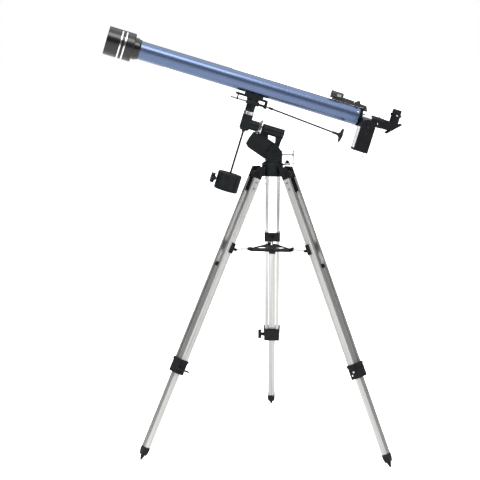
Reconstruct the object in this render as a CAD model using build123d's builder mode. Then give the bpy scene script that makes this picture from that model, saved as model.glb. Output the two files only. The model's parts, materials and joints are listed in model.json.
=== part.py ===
from build123d import *
import math
import os

os.makedirs("parts", exist_ok=True)

# Refracting telescope on a small equatorial mount and a three-legged stand.
# Millimetres, +Z up. The origin is on the floor under the tripod's centre line.
# The tube, the polar axis and the declination axis lie in the XZ plane, with the
# objective towards -X.

# ---------------------------------------------------------------- stance
foot_radius = 481.0          # floor circle through the feet
leg_apex_height = 1085.0     # where the legs' centre lines would meet
leg_turn = -8.65             # turn of the tripod under the mount, degrees
hinge_radius = 62.0          # leg hinge from the centre line
foot_tip_radius = 3.0
running_gap = 0.05           # radial clearance of a turning shaft
slide_gap = 0.3              # clearance beside flat sliding faces
body_gap = 0.4               # clearance between neighbours that move apart

# ---------------------------------------------------------------- legs
leg_width = 50.0             # over both rails
leg_depth = 24.0
rail_width = 11.0
rail_wall = 1.6
rail_top = 15.0              # distances along a leg are from its hinge
groove_width = 1.2
groove_depth = 0.5
slider_width = 24.0
slider_depth = 20.0
slider_wall = 1.8
slider_top = 322.0
slider_cap = 14.0
clamp_centre = 695.0
clamp_length = 50.0
clamp_wall = 3.0
clamp_lip = 9.0
clamp_pocket = 16.0          # depth to which the rails sit in the clamp
eye_radius = 13.0
eye_width = 24.0
bracket_top = 25.0           # square-cut top above the hinge
slot_floor = 1.5             # bottom of the bracket's slot below the hub's ear
tongue_length = 48.0
tongue_width = 9.4           # of the prongs inside the rails
tongue_slack = 0.6
bolt_head_height = 4.5
bolt_head_radius = 7.5
leg_bolt_radius = 4.0
rail_bolt_radius = 2.5
rail_bolt_stations = (14.0, 36.0)     # below the top of the rails
foot_sleeve = 14.0
foot_taper = 14.0
foot_spike = 16.0
foot_width = 27.0
foot_depth = 23.0
foot_socket = 12.0
clamp_screw_radius = 3.0
clamp_screw_drop = 6.0       # below the clamp's middle
clamp_boss_radius = 7.0
clamp_boss_reach = 4.0
wing_length = 40.0
wing_width = 5.0
wing_depth = 12.0
wing_hub_radius = 6.0
wing_turns = {"back": 0.0, "left": 90.0, "right": 0.0}
strut_drop = 254.0           # struts' pins below the leg hinges
strut_bracket_height = 36.0
strut_thickness = 3.0
strut_height = 7.0
strut_length = 53.0
strut_pin_radius = 1.5
strut_plate = 2.5            # bracket's back and side plates
strut_lug_radius = 5.0
strut_lug_thickness = 3.0
strut_pin_half = 6.0
strut_pin_drop = 34.0        # pin inside the leg's centre plane

# ---------------------------------------------------------------- tray
tray_thickness = 3.0
tray_rim = 5.0
tray_rim_width = 2.5
tray_corner_width = 26.0
tray_hole_radius = 16.1
tray_hole_circle = 36.0
tray_drop = 4.5              # top of the plate under the strut pins
clip_length = 14.0
clip_play = 0.8              # between a strut and its clip
clip_thickness = 3.0
clip_height = 15.0

# ---------------------------------------------------------------- hub and base
hub_radius = 36.0
hub_drop = 8.0               # underside of the hub below the leg hinges
hub_rise = 39.0              # top of the hub above the leg hinges
hub_bevel = (8.0, 6.0)       # width and height of the slope round its top
ear_root = 34.0
stud_radius = 10.0
lock_radius = 51.0
lock_angle = -20.0
lock_screw_radius = 3.0
lock_lug_radius = 11.0
lock_lug_width = 20.0
lock_lug_height = 3.0
lock_lug_rise = 29.5         # underside of the lug above the leg hinges
lock_washer = 2.2
lock_wing = (9.0, 4.5, 13.0)  # half widths at its foot and top, and height
lock_wing_half = 1.6
base_gap = 0.2               # between the base and the hub
base_radius = 25.0
base_height = 7.0
pivot_x = 7.0                # latitude pivot
pivot_rise = 24.65           # above the top of the base
pivot_radius = 6.0
cheek_inside = 15.0
cheek_thickness = 6.0
cheek_recess = 1.5
head_eye_radius = 14.5
head_web_half = 9.0
pivot_recess_radius = 10.0
pivot_head_radius = 8.5
back_wall_x = 23.0
back_wall_thickness = 7.0
back_wall_rise = 6.0         # top of the back wall above the pivot
t_bolt_drop = 8.0            # below the pivot
t_bolt_radius = 2.8
t_bolt_end = 74.0
t_bar_radius = 1.9
t_bar_reach = (31.0, 11.0)   # below and above the bolt
t_head_length = 8.0
t_head_step = 1.2
t_ball_step = 1.0

# ---------------------------------------------------------------- mount axes
latitude = 16.2
polar_rise = 70.5            # polar axis at the centre line, above the pivot
dec_offset = 97.4            # declination axis from the centre line, along the polar axis
tube_offset = 130.7          # optical axis above the polar axis
polar_barrel_radius = 16.5
polar_barrel_span = (-39.0, 36.5)
polar_shaft_radius = 8.0
collar_radius = 17.0
circle_radius = 26.0
circle_span = (-52.0, -43.0)
circle_rim = 3.0
collar_gap = 2.0             # between the declination collar and the circle
dec_radius = 17.5
dec_span = (-24.0, 31.0)
dec_boss_radius = 11.0
dec_circle_height = 10.4
dec_shaft_radius = 6.0
neck_radius = 16.0
neck_top = 64.0
weight_radius = 41.0
weight_height = 61.0
weight_drop = 206.5
rod_radius = 3.5
weight_knob_radius = 18.0

# ---------------------------------------------------------------- saddle and slow motion
plate_span = (-60.0, 48.0)
plate_width = 44.0
plate_thickness = 7.0
cradle_half = 30.0           # half length of the thick middle of the plate
plate_drop = 45.0            # underside of the plate below the optical axis
worm_drop = 58.5
worm_side = -18.0
worm_radius = 5.5
worm_shaft_radius = 3.0
control_droop = 4.0
control_radius = 2.9
control_knob_radius = 25.0
control_start = 58.0
control_length = 262.0

# ---------------------------------------------------------------- optical tube
tube_radius = 31.0
tube_wall = 1.5
tube_span = (-408.6, 357.3)
cell_step = 3.0              # of the cell over the tube
cell_length = 25.0
lens_inset = 1.0             # of the lens inside the tube's size
lens_thickness = 9.0
shade_step = 13.5            # of the dew shield over the cell
shade_wall = 3.0
shade_length = 91.5
draw_radius = 14.5
draw_wall = 1.2
draw_span = (290.0, 440.0)
draw_collar = (405.0, 440.0)
collar_wall = 3.5
pinion_station = 388.0
pinion_radius = 6.0
pinion_shaft_radius = 3.0
diagonal_station = 484.0
holder_radius = 16.0
holder_top = 46.0
holder_collar = 9.0
eyepiece_top = 61.0
mirror_step = 6.5             # body cut behind the 45 degree mirror
mirror_reach = 40.0
mirror_length = 26.0
mirror_width = 20.0
cover_length = 61.0
cover_thickness = 4.0
eyepiece_bore = 12.25
light_radius = 11.0
elbow_overlap = 5.0          # of the two bores over the mirror
elbow_step = 0.4             # the second bore is narrower
drive_width = 49.0
drive_depth = 58.0
drive_length = 86.0
drive_wall = 2.0
drive_side = -22.0
drive_lid = 4.0
switch_radius = 1.4
switch_reach = 20.0
switch_station = 17.0        # along the tube from the pinion
switch_side = 30.0           # from the inner face of the drive
switch_pin_half = 3.5
finder_rise = 17.0           # hood's axis above the tube
finder_radius = 12.0
finder_span = (249.0, 290.0)

# ---------------------------------------------------------------- worked out
lean = math.atan2(foot_radius, leg_apex_height)
hinge_height = leg_apex_height * (1 - hinge_radius / foot_radius)
strut_level = hinge_height - strut_drop
hub_bottom = hinge_height - hub_drop
hub_top = hinge_height + hub_rise
base_bottom = hub_top + base_gap
base_top = base_bottom + base_height
pivot_z = base_top + pivot_rise
polar_axis_height = pivot_z + polar_rise
t_bolt_height = pivot_z - t_bolt_drop
cell_radius = tube_radius + cell_step
lens_radius = tube_radius - lens_inset
shade_radius = cell_radius + shade_step
collar_outer = draw_radius + collar_wall
finder_axis = tube_radius + finder_rise
leg_length = (hinge_height - foot_tip_radius) / math.cos(lean)
rail_offset = leg_width / 2 - rail_width / 2
rail_gap = leg_width - 2 * rail_width
rail_end = clamp_centre - clamp_length / 2 + clamp_pocket
foot_top = leg_length - foot_spike - foot_taper - foot_sleeve
tilt = math.radians(latitude)
along = Vector(math.cos(tilt), 0, -math.sin(tilt))     # towards the eyepiece
rise = Vector(math.sin(tilt), 0, math.cos(tilt))       # up, square to the tube
side = Vector(0, 1, 0)
polar_origin = Vector(0, 0, polar_axis_height)
dec_origin = polar_origin - along * dec_offset
tube_origin = dec_origin + rise * tube_offset
polar_axis = Axis(polar_origin, along)
dec_axis = Axis(dec_origin, rise)
tube_axis = Axis(tube_origin, along)


def write(piece, name):
    piece.part.label = name
    export_step(piece.part, "parts/" + name + ".step")


def point(origin, s, up=0.0, y=0.0):
    return origin + along * s + rise * up + side * y


def across(origin, s, up=0.0, y=0.0):
    # square to the tube: X is world Y, Y is up
    return Plane(origin=point(origin, s, up, y), x_dir=(0, 1, 0), z_dir=along)


def upright(origin, s, up=0.0, y=0.0):
    # square to the declination axis: X runs along the tube
    return Plane(origin=point(origin, s, up, y), x_dir=along, z_dir=rise)


def profile(origin, s=0.0, up=0.0, y=0.0):
    # the XZ plane tilted with the tube: X along it, Y up
    return Plane(origin=point(origin, s, up, y), x_dir=along, z_dir=(0, -1, 0))


def turned(plane, outline, axis):
    # a solid of revolution from a closed outline
    with BuildPart() as body:
        with BuildSketch(plane):
            with BuildLine():
                Polyline(*outline, close=True)
            make_face()
        revolve(axis=axis)
    return body.part


# ================================================================ tripod hub
leg_angles = {"back": 90.0 + leg_turn, "left": 210.0 + leg_turn, "right": 330.0 + leg_turn}
bevel_width, bevel_height = hub_bevel
lug_bottom = hinge_height + lock_lug_rise
lug_top = lug_bottom + lock_lug_height


def radial_plane(angle, height):
    turn = math.radians(angle)
    return Plane(
        origin=(0, 0, height),
        x_dir=(math.cos(turn), math.sin(turn), 0),
        z_dir=(math.sin(turn), -math.cos(turn), 0),
    )


lock_turn = math.radians(lock_angle)
lock_place = Vector(lock_radius * math.cos(lock_turn), lock_radius * math.sin(lock_turn), 0)

with BuildPart() as tripod_hub:
    with BuildSketch(Plane.XZ):
        with BuildLine():
            Polyline(
                (stud_radius + running_gap, hub_bottom),
                (hub_radius, hub_bottom),
                (hub_radius, hub_top - bevel_height),
                (hub_radius - bevel_width, hub_top),
                (stud_radius + running_gap, hub_top),
                close=True,
            )
        make_face()
    revolve(axis=Axis.Z)
    # lug under the azimuth lock
    with BuildSketch(Plane.XY.offset(lug_bottom)):
        with Locations(lock_place):
            Circle(lock_lug_radius)
        with Locations(Location(lock_place * 0.75, (0, 0, lock_angle))):
            Rectangle(lock_radius / 2, lock_lug_width)
    extrude(amount=lock_lug_height)
    with BuildSketch(Plane.XY.offset(lug_bottom)):
        with Locations(lock_place):
            Circle(lock_screw_radius + running_gap)
    extrude(amount=lock_lug_height, mode=Mode.SUBTRACT)
    # one ear for each leg
    for angle in leg_angles.values():
        with BuildSketch(radial_plane(angle, hinge_height)):
            with Locations(((hinge_radius + ear_root) / 2, (eye_radius - hub_drop) / 2)):
                Rectangle(hinge_radius - ear_root, eye_radius + hub_drop)
            with Locations((hinge_radius, 0)):
                Circle(eye_radius)
        extrude(amount=eye_width / 2, both=True)
        with BuildSketch(radial_plane(angle, hinge_height)):
            with Locations((hinge_radius, 0)):
                Circle(leg_bolt_radius)
        extrude(amount=eye_width, both=True, mode=Mode.SUBTRACT)
write(tripod_hub, "tripod_hub")

with BuildPart() as leg_hinge_bolts:
    for angle in leg_angles.values():
        with BuildSketch(radial_plane(angle, hinge_height)):
            with Locations((hinge_radius, 0)):
                Circle(leg_bolt_radius)
        extrude(amount=leg_width / 2 + slide_gap, both=True)
        for way in (1, -1):
            with BuildSketch(radial_plane(angle, hinge_height).offset(way * (leg_width / 2 + slide_gap))):
                with Locations((hinge_radius, 0)):
                    RegularPolygon(bolt_head_radius, 6)
            extrude(amount=way * bolt_head_height)
write(leg_hinge_bolts, "leg_hinge_bolts")

wing_foot, wing_tip, wing_rise = lock_wing
washer_bottom = lug_top + base_gap
with BuildPart() as azimuth_lock:
    with BuildSketch(Plane.XY.offset(lug_bottom)):
        with Locations(lock_place):
            Circle(lock_screw_radius)
    extrude(amount=washer_bottom - lug_bottom)
    with BuildSketch(Plane.XY.offset(washer_bottom)):
        with Locations(lock_place):
            Circle(lock_lug_radius)
    extrude(amount=lock_washer)
    with BuildSketch(Plane(origin=lock_place + Vector(0, 0, washer_bottom), x_dir=(1, 0, 0), z_dir=(0, -1, 0))):
        with BuildLine():
            Polyline(
                (-wing_foot, lock_washer),
                (wing_foot, lock_washer),
                (wing_tip, wing_rise - 1.0),
                (wing_tip - 2.0, wing_rise),
                (2.0 - wing_tip, wing_rise),
                (-wing_tip, wing_rise - 1.0),
                close=True,
            )
        make_face()
    extrude(amount=lock_wing_half, both=True)
write(azimuth_lock, "azimuth_lock")


# ================================================================ one leg
def make_leg(name, angle):
    turn = math.radians(angle)
    radial = Vector(math.cos(turn), math.sin(turn), 0)
    down = radial * math.sin(lean) - Vector(0, 0, math.cos(lean))
    outward = radial * math.cos(lean) + Vector(0, 0, math.sin(lean))
    cross = down.cross(outward)                    # clockwise round the tripod
    hinge = radial * hinge_radius + Vector(0, 0, hinge_height)

    def station(distance, out=0.0):
        return Plane(origin=hinge + down * distance + outward * out, x_dir=outward, z_dir=down)

    def flank(distance, out=0.0, over=0.0):
        # X down the leg, Y outward, normal along the hinge
        return Plane(origin=hinge + down * distance + outward * out + cross * over, x_dir=down, z_dir=cross)

    def level_cut(out):
        # distance down the leg where a point this far out meets the level top
        return (out * math.sin(lean) - bracket_top) / math.cos(lean)

    with BuildPart() as rails:
        with BuildSketch(station(rail_top)):
            with Locations((0, rail_offset), (0, -rail_offset)):
                Rectangle(leg_depth, rail_width)
            for way in (1, -1):
                with Locations((0, way * (rail_offset - rail_wall / 2))):
                    Rectangle(leg_depth - 2 * rail_wall, rail_width - rail_wall, mode=Mode.SUBTRACT)
                with Locations((leg_depth / 2, way * rail_offset), (-leg_depth / 2, way * rail_offset)):
                    Rectangle(2 * groove_depth, groove_width, mode=Mode.SUBTRACT)
                with Locations((4.0, way * leg_width / 2), (-4.0, way * leg_width / 2)):
                    Rectangle(groove_width, 2 * groove_depth, mode=Mode.SUBTRACT)
        extrude(amount=rail_end - rail_top)
        for drop in rail_bolt_stations:
            with BuildSketch(flank(rail_top + drop)):
                Circle(rail_bolt_radius)
            extrude(amount=leg_width, both=True, mode=Mode.SUBTRACT)
    write(rails, name + "_leg_rails")

    prong_depth = leg_depth - 2 * rail_wall - tongue_slack / 2
    prong_centre = (leg_width - tongue_width) / 2 - rail_wall - tongue_slack / 2
    with BuildPart() as bracket:
        # a block of the leg's section, cut level above the hinge
        with BuildSketch(flank(0)):
            with BuildLine():
                Polyline(
                    (level_cut(-leg_depth / 2), -leg_depth / 2),
                    (level_cut(leg_depth / 2), leg_depth / 2),
                    (rail_top, leg_depth / 2),
                    (rail_top, -leg_depth / 2),
                    close=True,
                )
            make_face()
        extrude(amount=leg_width / 2, both=True)
        with BuildSketch(station(rail_top)):
            with Locations((0, prong_centre), (0, -prong_centre)):
                Rectangle(prong_depth, tongue_width)
        extrude(amount=tongue_length)
        # slot over the hub's ear
        with BuildSketch(flank(0)):
            Circle(eye_radius + slot_floor)
            with Locations((-leg_width / 2, 0)):
                Rectangle(leg_width, 2 * (eye_radius + slot_floor))
        extrude(amount=eye_width / 2 + slide_gap, both=True, mode=Mode.SUBTRACT)
        with BuildSketch(flank(0)):
            Circle(leg_bolt_radius + running_gap)
        extrude(amount=leg_width, both=True, mode=Mode.SUBTRACT)
        for drop in rail_bolt_stations:
            with BuildSketch(flank(rail_top + drop)):
                Circle(rail_bolt_radius)
            extrude(amount=leg_width, both=True, mode=Mode.SUBTRACT)
    write(bracket, name + "_leg_bracket")

    with BuildPart() as clamp:
        with BuildSketch(station(clamp_centre - clamp_length / 2)):
            RectangleRounded(leg_depth + 2 * clamp_wall, leg_width + 2 * clamp_wall, 3.0)
        extrude(amount=clamp_length)
        with BuildSketch(station(clamp_centre - clamp_length / 2)):
            RectangleRounded(leg_depth + 2 * clamp_wall + 4.0, leg_width + 2 * clamp_wall + 4.0, 4.0)
        extrude(amount=clamp_lip)
        with BuildSketch(station(clamp_centre - clamp_length / 2)):
            Rectangle(leg_depth, leg_width)
        extrude(amount=clamp_pocket, mode=Mode.SUBTRACT)
        with BuildSketch(station(clamp_centre - clamp_length)):
            Rectangle(slider_depth + 2 * slide_gap, slider_width + 2 * slide_gap)
        extrude(amount=2 * clamp_length, mode=Mode.SUBTRACT)
        # boss and bore of the locking screw
        with BuildSketch(flank(clamp_centre + clamp_screw_drop, over=-leg_width / 2)):
            Circle(clamp_boss_radius)
        extrude(amount=-clamp_wall - clamp_boss_reach)
        with BuildSketch(flank(clamp_centre + clamp_screw_drop)):
            Circle(clamp_screw_radius + running_gap)
        extrude(amount=-leg_width, mode=Mode.SUBTRACT)
    write(clamp, name + "_leg_clamp")

    with BuildPart() as screw:
        inner = slider_width / 2 + slide_gap
        outer = leg_width / 2 + clamp_wall + clamp_boss_reach + body_gap
        with BuildSketch(flank(clamp_centre + clamp_screw_drop, over=-inner)):
            Circle(clamp_screw_radius)
        extrude(amount=inner - outer)
        with BuildSketch(flank(clamp_centre + clamp_screw_drop, over=-outer)):
            Circle(wing_hub_radius)
        extrude(amount=-wing_depth / 2)
        with BuildSketch(flank(clamp_centre + clamp_screw_drop, over=-outer - wing_depth / 2)):
            SlotOverall(wing_length, wing_width, rotation=wing_turns[name])
        extrude(amount=-wing_depth)
    write(screw, name + "_clamp_screw")

    with BuildPart() as slider:
        with BuildSketch(station(slider_top + slider_cap)):
            Rectangle(slider_depth, slider_width)
            Rectangle(slider_depth - 2 * slider_wall, slider_width - 2 * slider_wall, mode=Mode.SUBTRACT)
            with Locations((slider_depth / 2, 0), (-slider_depth / 2, 0)):
                Rectangle(2 * groove_depth, groove_width, mode=Mode.SUBTRACT)
        extrude(amount=foot_top + foot_socket - slider_top - slider_cap)
    write(slider, name + "_leg_slider")

    with BuildPart() as foot:
        with BuildSketch(station(foot_top)):
            RectangleRounded(foot_depth, foot_width, 3.0)
        extrude(amount=foot_sleeve)
        with BuildSketch(station(foot_top + foot_sleeve)):
            RectangleRounded(foot_depth, foot_width, 3.0)
        with BuildSketch(station(foot_top + foot_sleeve + foot_taper)):
            RectangleRounded(foot_depth * 0.8, foot_width * 0.8, 3.0)
        loft()
        with BuildSketch(station(foot_top)):
            Rectangle(slider_depth, slider_width)
        extrude(amount=foot_socket, mode=Mode.SUBTRACT)
        with BuildSketch(flank(0)):
            with BuildLine():
                Polyline(
                    (foot_top + foot_sleeve + foot_taper - 2.0, 0),
                    (foot_top + foot_sleeve + foot_taper - 2.0, 8.0),
                    (foot_top + foot_sleeve + foot_taper + 4.0, 7.0),
                    (leg_length, foot_tip_radius * 0.98),
                    (leg_length, 0),
                    close=True,
                )
            make_face()
        revolve(axis=Axis(hinge, down))
        with Locations(hinge + down * leg_length):
            Sphere(foot_tip_radius)
    write(foot, name + "_foot")

    # bracket that carries the spreader strut, across both rails
    pin = radial * strut_pin_radius_from_axis() + Vector(0, 0, strut_level)
    along_leg = (pin - hinge).dot(down)
    lug_offset = (strut_thickness + strut_lug_thickness) / 2 + slide_gap
    with BuildPart() as strut_bracket:
        with BuildSketch(station(along_leg - strut_bracket_height / 2, -(leg_depth + strut_plate) / 2)):
            Rectangle(strut_plate, leg_width + 2 * strut_plate)
        extrude(amount=strut_bracket_height)
        for way in (1, -1):
            with BuildSketch(station(along_leg - strut_bracket_height / 2, -leg_depth / 4)):
                with Locations((0, way * (leg_width + strut_plate) / 2)):
                    Rectangle(leg_depth / 2, strut_plate)
            extrude(amount=strut_bracket_height)
            with BuildSketch(flank(along_leg, over=way * lug_offset)):
                with Locations((0, -strut_pin_drop)):
                    Circle(strut_lug_radius)
                with Locations((0, -(leg_depth / 2 + strut_pin_drop) / 2)):
                    Rectangle(2 * strut_lug_radius, strut_pin_drop - leg_depth / 2)
            extrude(amount=strut_lug_thickness / 2, both=True)
        with BuildSketch(flank(along_leg)):
            with Locations((0, -strut_pin_drop)):
                Circle(strut_pin_radius)
        extrude(amount=strut_pin_half, both=True)
    write(strut_bracket, name + "_strut_bracket")

    with BuildPart() as strut:
        with BuildSketch(radial_plane(angle, strut_level)):
            with Locations((strut_pin_radius_from_axis() - strut_length / 2, 0)):
                SlotCenterToCenter(strut_length, strut_height)
            with Locations((strut_pin_radius_from_axis(), 0)):
                Circle(strut_pin_radius + running_gap, mode=Mode.SUBTRACT)
        extrude(amount=strut_thickness / 2, both=True)
    write(strut, name + "_strut")


def strut_pin_radius_from_axis():
    # radius, from the tripod's centre line, of a strut's pin on its leg
    distance = (hinge_height - strut_level - strut_pin_drop * math.sin(lean)) / math.cos(lean)
    return hinge_radius + distance * math.sin(lean) - strut_pin_drop * math.cos(lean)


for leg_name, leg_angle in leg_angles.items():
    make_leg(leg_name, leg_angle)

# ================================================================ accessory tray
tray_top = strut_level - tray_drop
clip_radius = strut_pin_radius_from_axis() - strut_length
tray_reach = clip_radius - 1.0


def tray_outline(inset):
    # a triangle with its corners cut square, each pointing at a leg
    points = []
    for angle in sorted(leg_angles.values()):
        turn = math.radians(angle)
        ahead = Vector(math.cos(turn), math.sin(turn), 0)
        beside = Vector(-math.sin(turn), math.cos(turn), 0)
        for way in (-1, 1):
            corner = ahead * (tray_reach - inset) + beside * way * (tray_corner_width / 2 - inset * 0.6)
            points.append((corner.X, corner.Y))
    return points


with BuildPart() as accessory_tray:
    with BuildSketch(Plane.XY.offset(tray_top - tray_thickness)):
        with BuildLine():
            Polyline(*tray_outline(0), close=True)
        make_face()
    extrude(amount=tray_thickness)
    with BuildSketch(Plane.XY.offset(tray_top)):
        with BuildLine():
            Polyline(*tray_outline(0), close=True)
        make_face()
        with BuildLine():
            Polyline(*tray_outline(tray_rim_width), close=True)
        make_face(mode=Mode.SUBTRACT)
    extrude(amount=tray_rim - tray_thickness)
    with BuildSketch(Plane.XY.offset(tray_top - tray_thickness)):
        with PolarLocations(tray_hole_circle, 3, start_angle=leg_angles["back"] + 60.0):
            Circle(tray_hole_radius)
    extrude(amount=tray_thickness, mode=Mode.SUBTRACT)
    for angle in leg_angles.values():
        with BuildSketch(radial_plane(angle, strut_level)):
            with Locations((clip_radius, 0)):
                Rectangle(2 * clip_length, 60.0)
        extrude(amount=strut_thickness / 2 + clip_play, both=True, mode=Mode.SUBTRACT)
    for angle in leg_angles.values():
        for way in (1, -1):
            inner = way * (strut_thickness / 2 + clip_play)
            with BuildSketch(radial_plane(angle, tray_top).offset(inner)):
                with Locations((clip_radius - 3.0, clip_height / 2 - 4.0)):
                    RectangleRounded(clip_length, clip_height - 4.0, 2.0)
            extrude(amount=way * clip_thickness)
write(accessory_tray, "accessory_tray")

# ================================================================ azimuth base
back_wall_end = back_wall_x + back_wall_thickness
cheek_outside = cheek_inside + cheek_thickness
front = Plane(origin=(0, 0, 0), x_dir=(1, 0, 0), z_dir=(0, -1, 0))

with BuildPart() as azimuth_base:
    with BuildSketch(Plane.XY.offset(base_bottom)):
        Circle(base_radius)
    extrude(amount=base_height)
    fillet(azimuth_base.edges().group_by(Axis.Z)[0], radius=1.0)
    # stud that turns in the hub
    with BuildSketch(Plane.XY.offset(hub_bottom + 6.0)):
        Circle(stud_radius)
    extrude(amount=base_bottom - hub_bottom - 6.0)
    # two cheeks that carry the latitude pivot
    for way in (1, -1):
        with BuildSketch(front.offset(way * cheek_inside)):
            with BuildLine():
                Polyline(
                    (-base_radius + 1.0, base_top - 4.0),
                    (pivot_x - 29.0, pivot_z + 2.0),
                    (pivot_x - 13.0, pivot_z + 25.0),
                    (pivot_x - 3.0, pivot_z + 30.0),
                    (pivot_x + 6.0, pivot_z + 26.0),
                    (back_wall_end, pivot_z + 2.0),
                    (back_wall_end, base_top - 4.0),
                    close=True,
                )
            make_face()
        extrude(amount=way * cheek_thickness)
    with BuildSketch(Plane.XY.offset(base_top - 4.0)):
        with Locations(((back_wall_x + back_wall_end) / 2, 0)):
            Rectangle(back_wall_thickness, 2 * cheek_outside)
    extrude(amount=pivot_z + back_wall_rise - base_top + 4.0)
    with BuildSketch(Plane.XY.offset(base_bottom)):
        with Locations((back_wall_end / 2, 0)):
            Rectangle(back_wall_end, 2 * cheek_outside)
    extrude(amount=base_height)
    # pivot bolt's bore, its recess, and the thread of the latitude bolt
    with BuildSketch(front):
        with Locations((pivot_x, pivot_z)):
            Circle(pivot_radius)
    extrude(amount=cheek_outside + 1.0, both=True, mode=Mode.SUBTRACT)
    for way in (1, -1):
        with BuildSketch(front.offset(way * (cheek_outside - cheek_recess))):
            with Locations((pivot_x, pivot_z)):
                Circle(pivot_recess_radius)
        extrude(amount=way * 3.0, mode=Mode.SUBTRACT)
    with BuildSketch(Plane(origin=(back_wall_x - 2.0, 0, t_bolt_height), z_dir=(1, 0, 0))):
        Circle(t_bolt_radius + running_gap)
    extrude(amount=12.0, mode=Mode.SUBTRACT)
write(azimuth_base, "azimuth_base")

with BuildPart() as pivot_bolt:
    with BuildSketch(front):
        with Locations((pivot_x, pivot_z)):
            Circle(pivot_radius)
    extrude(amount=cheek_outside - cheek_recess, both=True)
    for way in (1, -1):
        with BuildSketch(front.offset(way * (cheek_outside - cheek_recess))):
            with Locations((pivot_x, pivot_z)):
                RegularPolygon(pivot_head_radius, 6)
        extrude(amount=way * bolt_head_height)
write(pivot_bolt, "pivot_bolt")

bar_low, bar_high = t_bar_reach
with BuildPart() as latitude_bolt:
    with BuildSketch(Plane(origin=(back_wall_x - 2.5, 0, t_bolt_height), z_dir=(1, 0, 0))):
        Circle(t_bolt_radius)
    extrude(amount=t_bolt_end - back_wall_x - 1.5)
    with BuildSketch(Plane(origin=(t_bolt_end - t_head_length, 0, t_bolt_height), z_dir=(1, 0, 0))):
        Circle(t_bolt_radius + t_head_step)
    extrude(amount=t_head_length)
    # bar pressed through the bolt's head
    with BuildSketch(Plane.XY.offset(t_bolt_height - bar_low)):
        with Locations((t_bolt_end - t_head_length / 2, 0)):
            Circle(t_bar_radius)
    extrude(amount=bar_low + bar_high)
    for level in (t_bolt_height - bar_low, t_bolt_height + bar_high):
        with Locations((t_bolt_end - t_head_length / 2, 0, level)):
            Sphere(t_bar_radius + t_ball_step)
write(latitude_bolt, "latitude_bolt")

# ================================================================ polar head
barrel_start, barrel_end = polar_barrel_span
circle_start, circle_end = circle_span

with BuildPart() as polar_head:
    add(
        turned(
            profile(polar_origin),
            [
                (barrel_start, 0),
                (barrel_start, polar_barrel_radius - 1.5),
                (barrel_start + 1.5, polar_barrel_radius),
                (barrel_end - 3.0, polar_barrel_radius),
                (barrel_end - 3.0, polar_barrel_radius + 0.8),
                (barrel_end, polar_barrel_radius + 0.8),
                (barrel_end, 0),
            ],
            polar_axis,
        )
    )
    # body block between the cheeks, its upper left end clear of the collar
    with BuildSketch(front):
        with BuildLine():
            Polyline(
                (pivot_x - 98.0, pivot_z + 29.0),
                (pivot_x - 86.0, pivot_z + 50.0),
                (pivot_x - 73.0, pivot_z + 67.0),
                (pivot_x - 63.0, pivot_z + 69.0),
                (pivot_x - 24.0, pivot_z + 46.0),
                (pivot_x - 3.0, pivot_z + 32.0),
                (pivot_x + 15.0, pivot_z + 25.0),
                (pivot_x + 8.0, pivot_z + 12.0),
                (pivot_x, pivot_z - 14.0),
                (pivot_x - 37.0, pivot_z - 20.0),
                (pivot_x - 92.0, pivot_z + 17.0),
                close=True,
            )
        make_face()
        with Locations((pivot_x, pivot_z)):
            Circle(head_eye_radius)
    extrude(amount=cheek_inside - slide_gap, both=True)
    # front web and rear post under the barrel
    with BuildSketch(front):
        with BuildLine():
            Polyline(
                (pivot_x - 51.0, pivot_z + 50.0),
                (pivot_x - 48.0, pivot_z + polar_rise + 9.5),
                (pivot_x - 25.0, pivot_z + polar_rise + 1.5),
                (pivot_x - 24.0, pivot_z + 42.0),
                close=True,
            )
        make_face()
        with BuildLine():
            Polyline(
                (pivot_x + 1.0, pivot_z + 28.0),
                (pivot_x + 2.0, pivot_z + polar_rise - 4.5),
                (pivot_x + 19.0, pivot_z + polar_rise - 8.5),
                (pivot_x + 22.0, pivot_z + 44.0),
                (pivot_x + 15.0, pivot_z + 25.0),
                close=True,
            )
        make_face()
    extrude(amount=head_web_half, both=True)
    with BuildSketch(across(polar_origin, barrel_start - 60.0)):
        Circle(collar_radius + 1.0)
    extrude(amount=59.9, mode=Mode.SUBTRACT)
    with BuildSketch(across(polar_origin, circle_start - 1.0)):
        Circle(circle_radius + 1.0)
    extrude(amount=circle_end - circle_start + 2.0, mode=Mode.SUBTRACT)
    # nose that the setting circle turns on
    with BuildSketch(across(polar_origin, circle_start - 0.5)):
        Circle(dec_boss_radius)
    extrude(amount=barrel_start - circle_start + 1.0)
    with BuildSketch(across(polar_origin, barrel_start - 20.0)):
        Circle(polar_shaft_radius + running_gap)
    extrude(amount=20.0 + barrel_end - barrel_start - 3.0, mode=Mode.SUBTRACT)
    with BuildSketch(front):
        with Locations((pivot_x, pivot_z)):
            Circle(pivot_radius + running_gap)
    extrude(amount=cheek_outside, both=True, mode=Mode.SUBTRACT)
write(polar_head, "polar_head")

with BuildPart() as polar_circle:
    # a rim with a dished front
    add(
        turned(
            profile(polar_origin),
            [
                (circle_start, dec_boss_radius + running_gap),
                (circle_start, dec_radius),
                (circle_end - circle_rim, circle_radius),
                (circle_end, circle_radius),
                (circle_end, dec_boss_radius + running_gap),
            ],
            polar_axis,
        )
    )
write(polar_circle, "polar_circle")

# ================================================================ declination housing
dec_low, dec_high = dec_span
collar_end = circle_start - collar_gap

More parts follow.
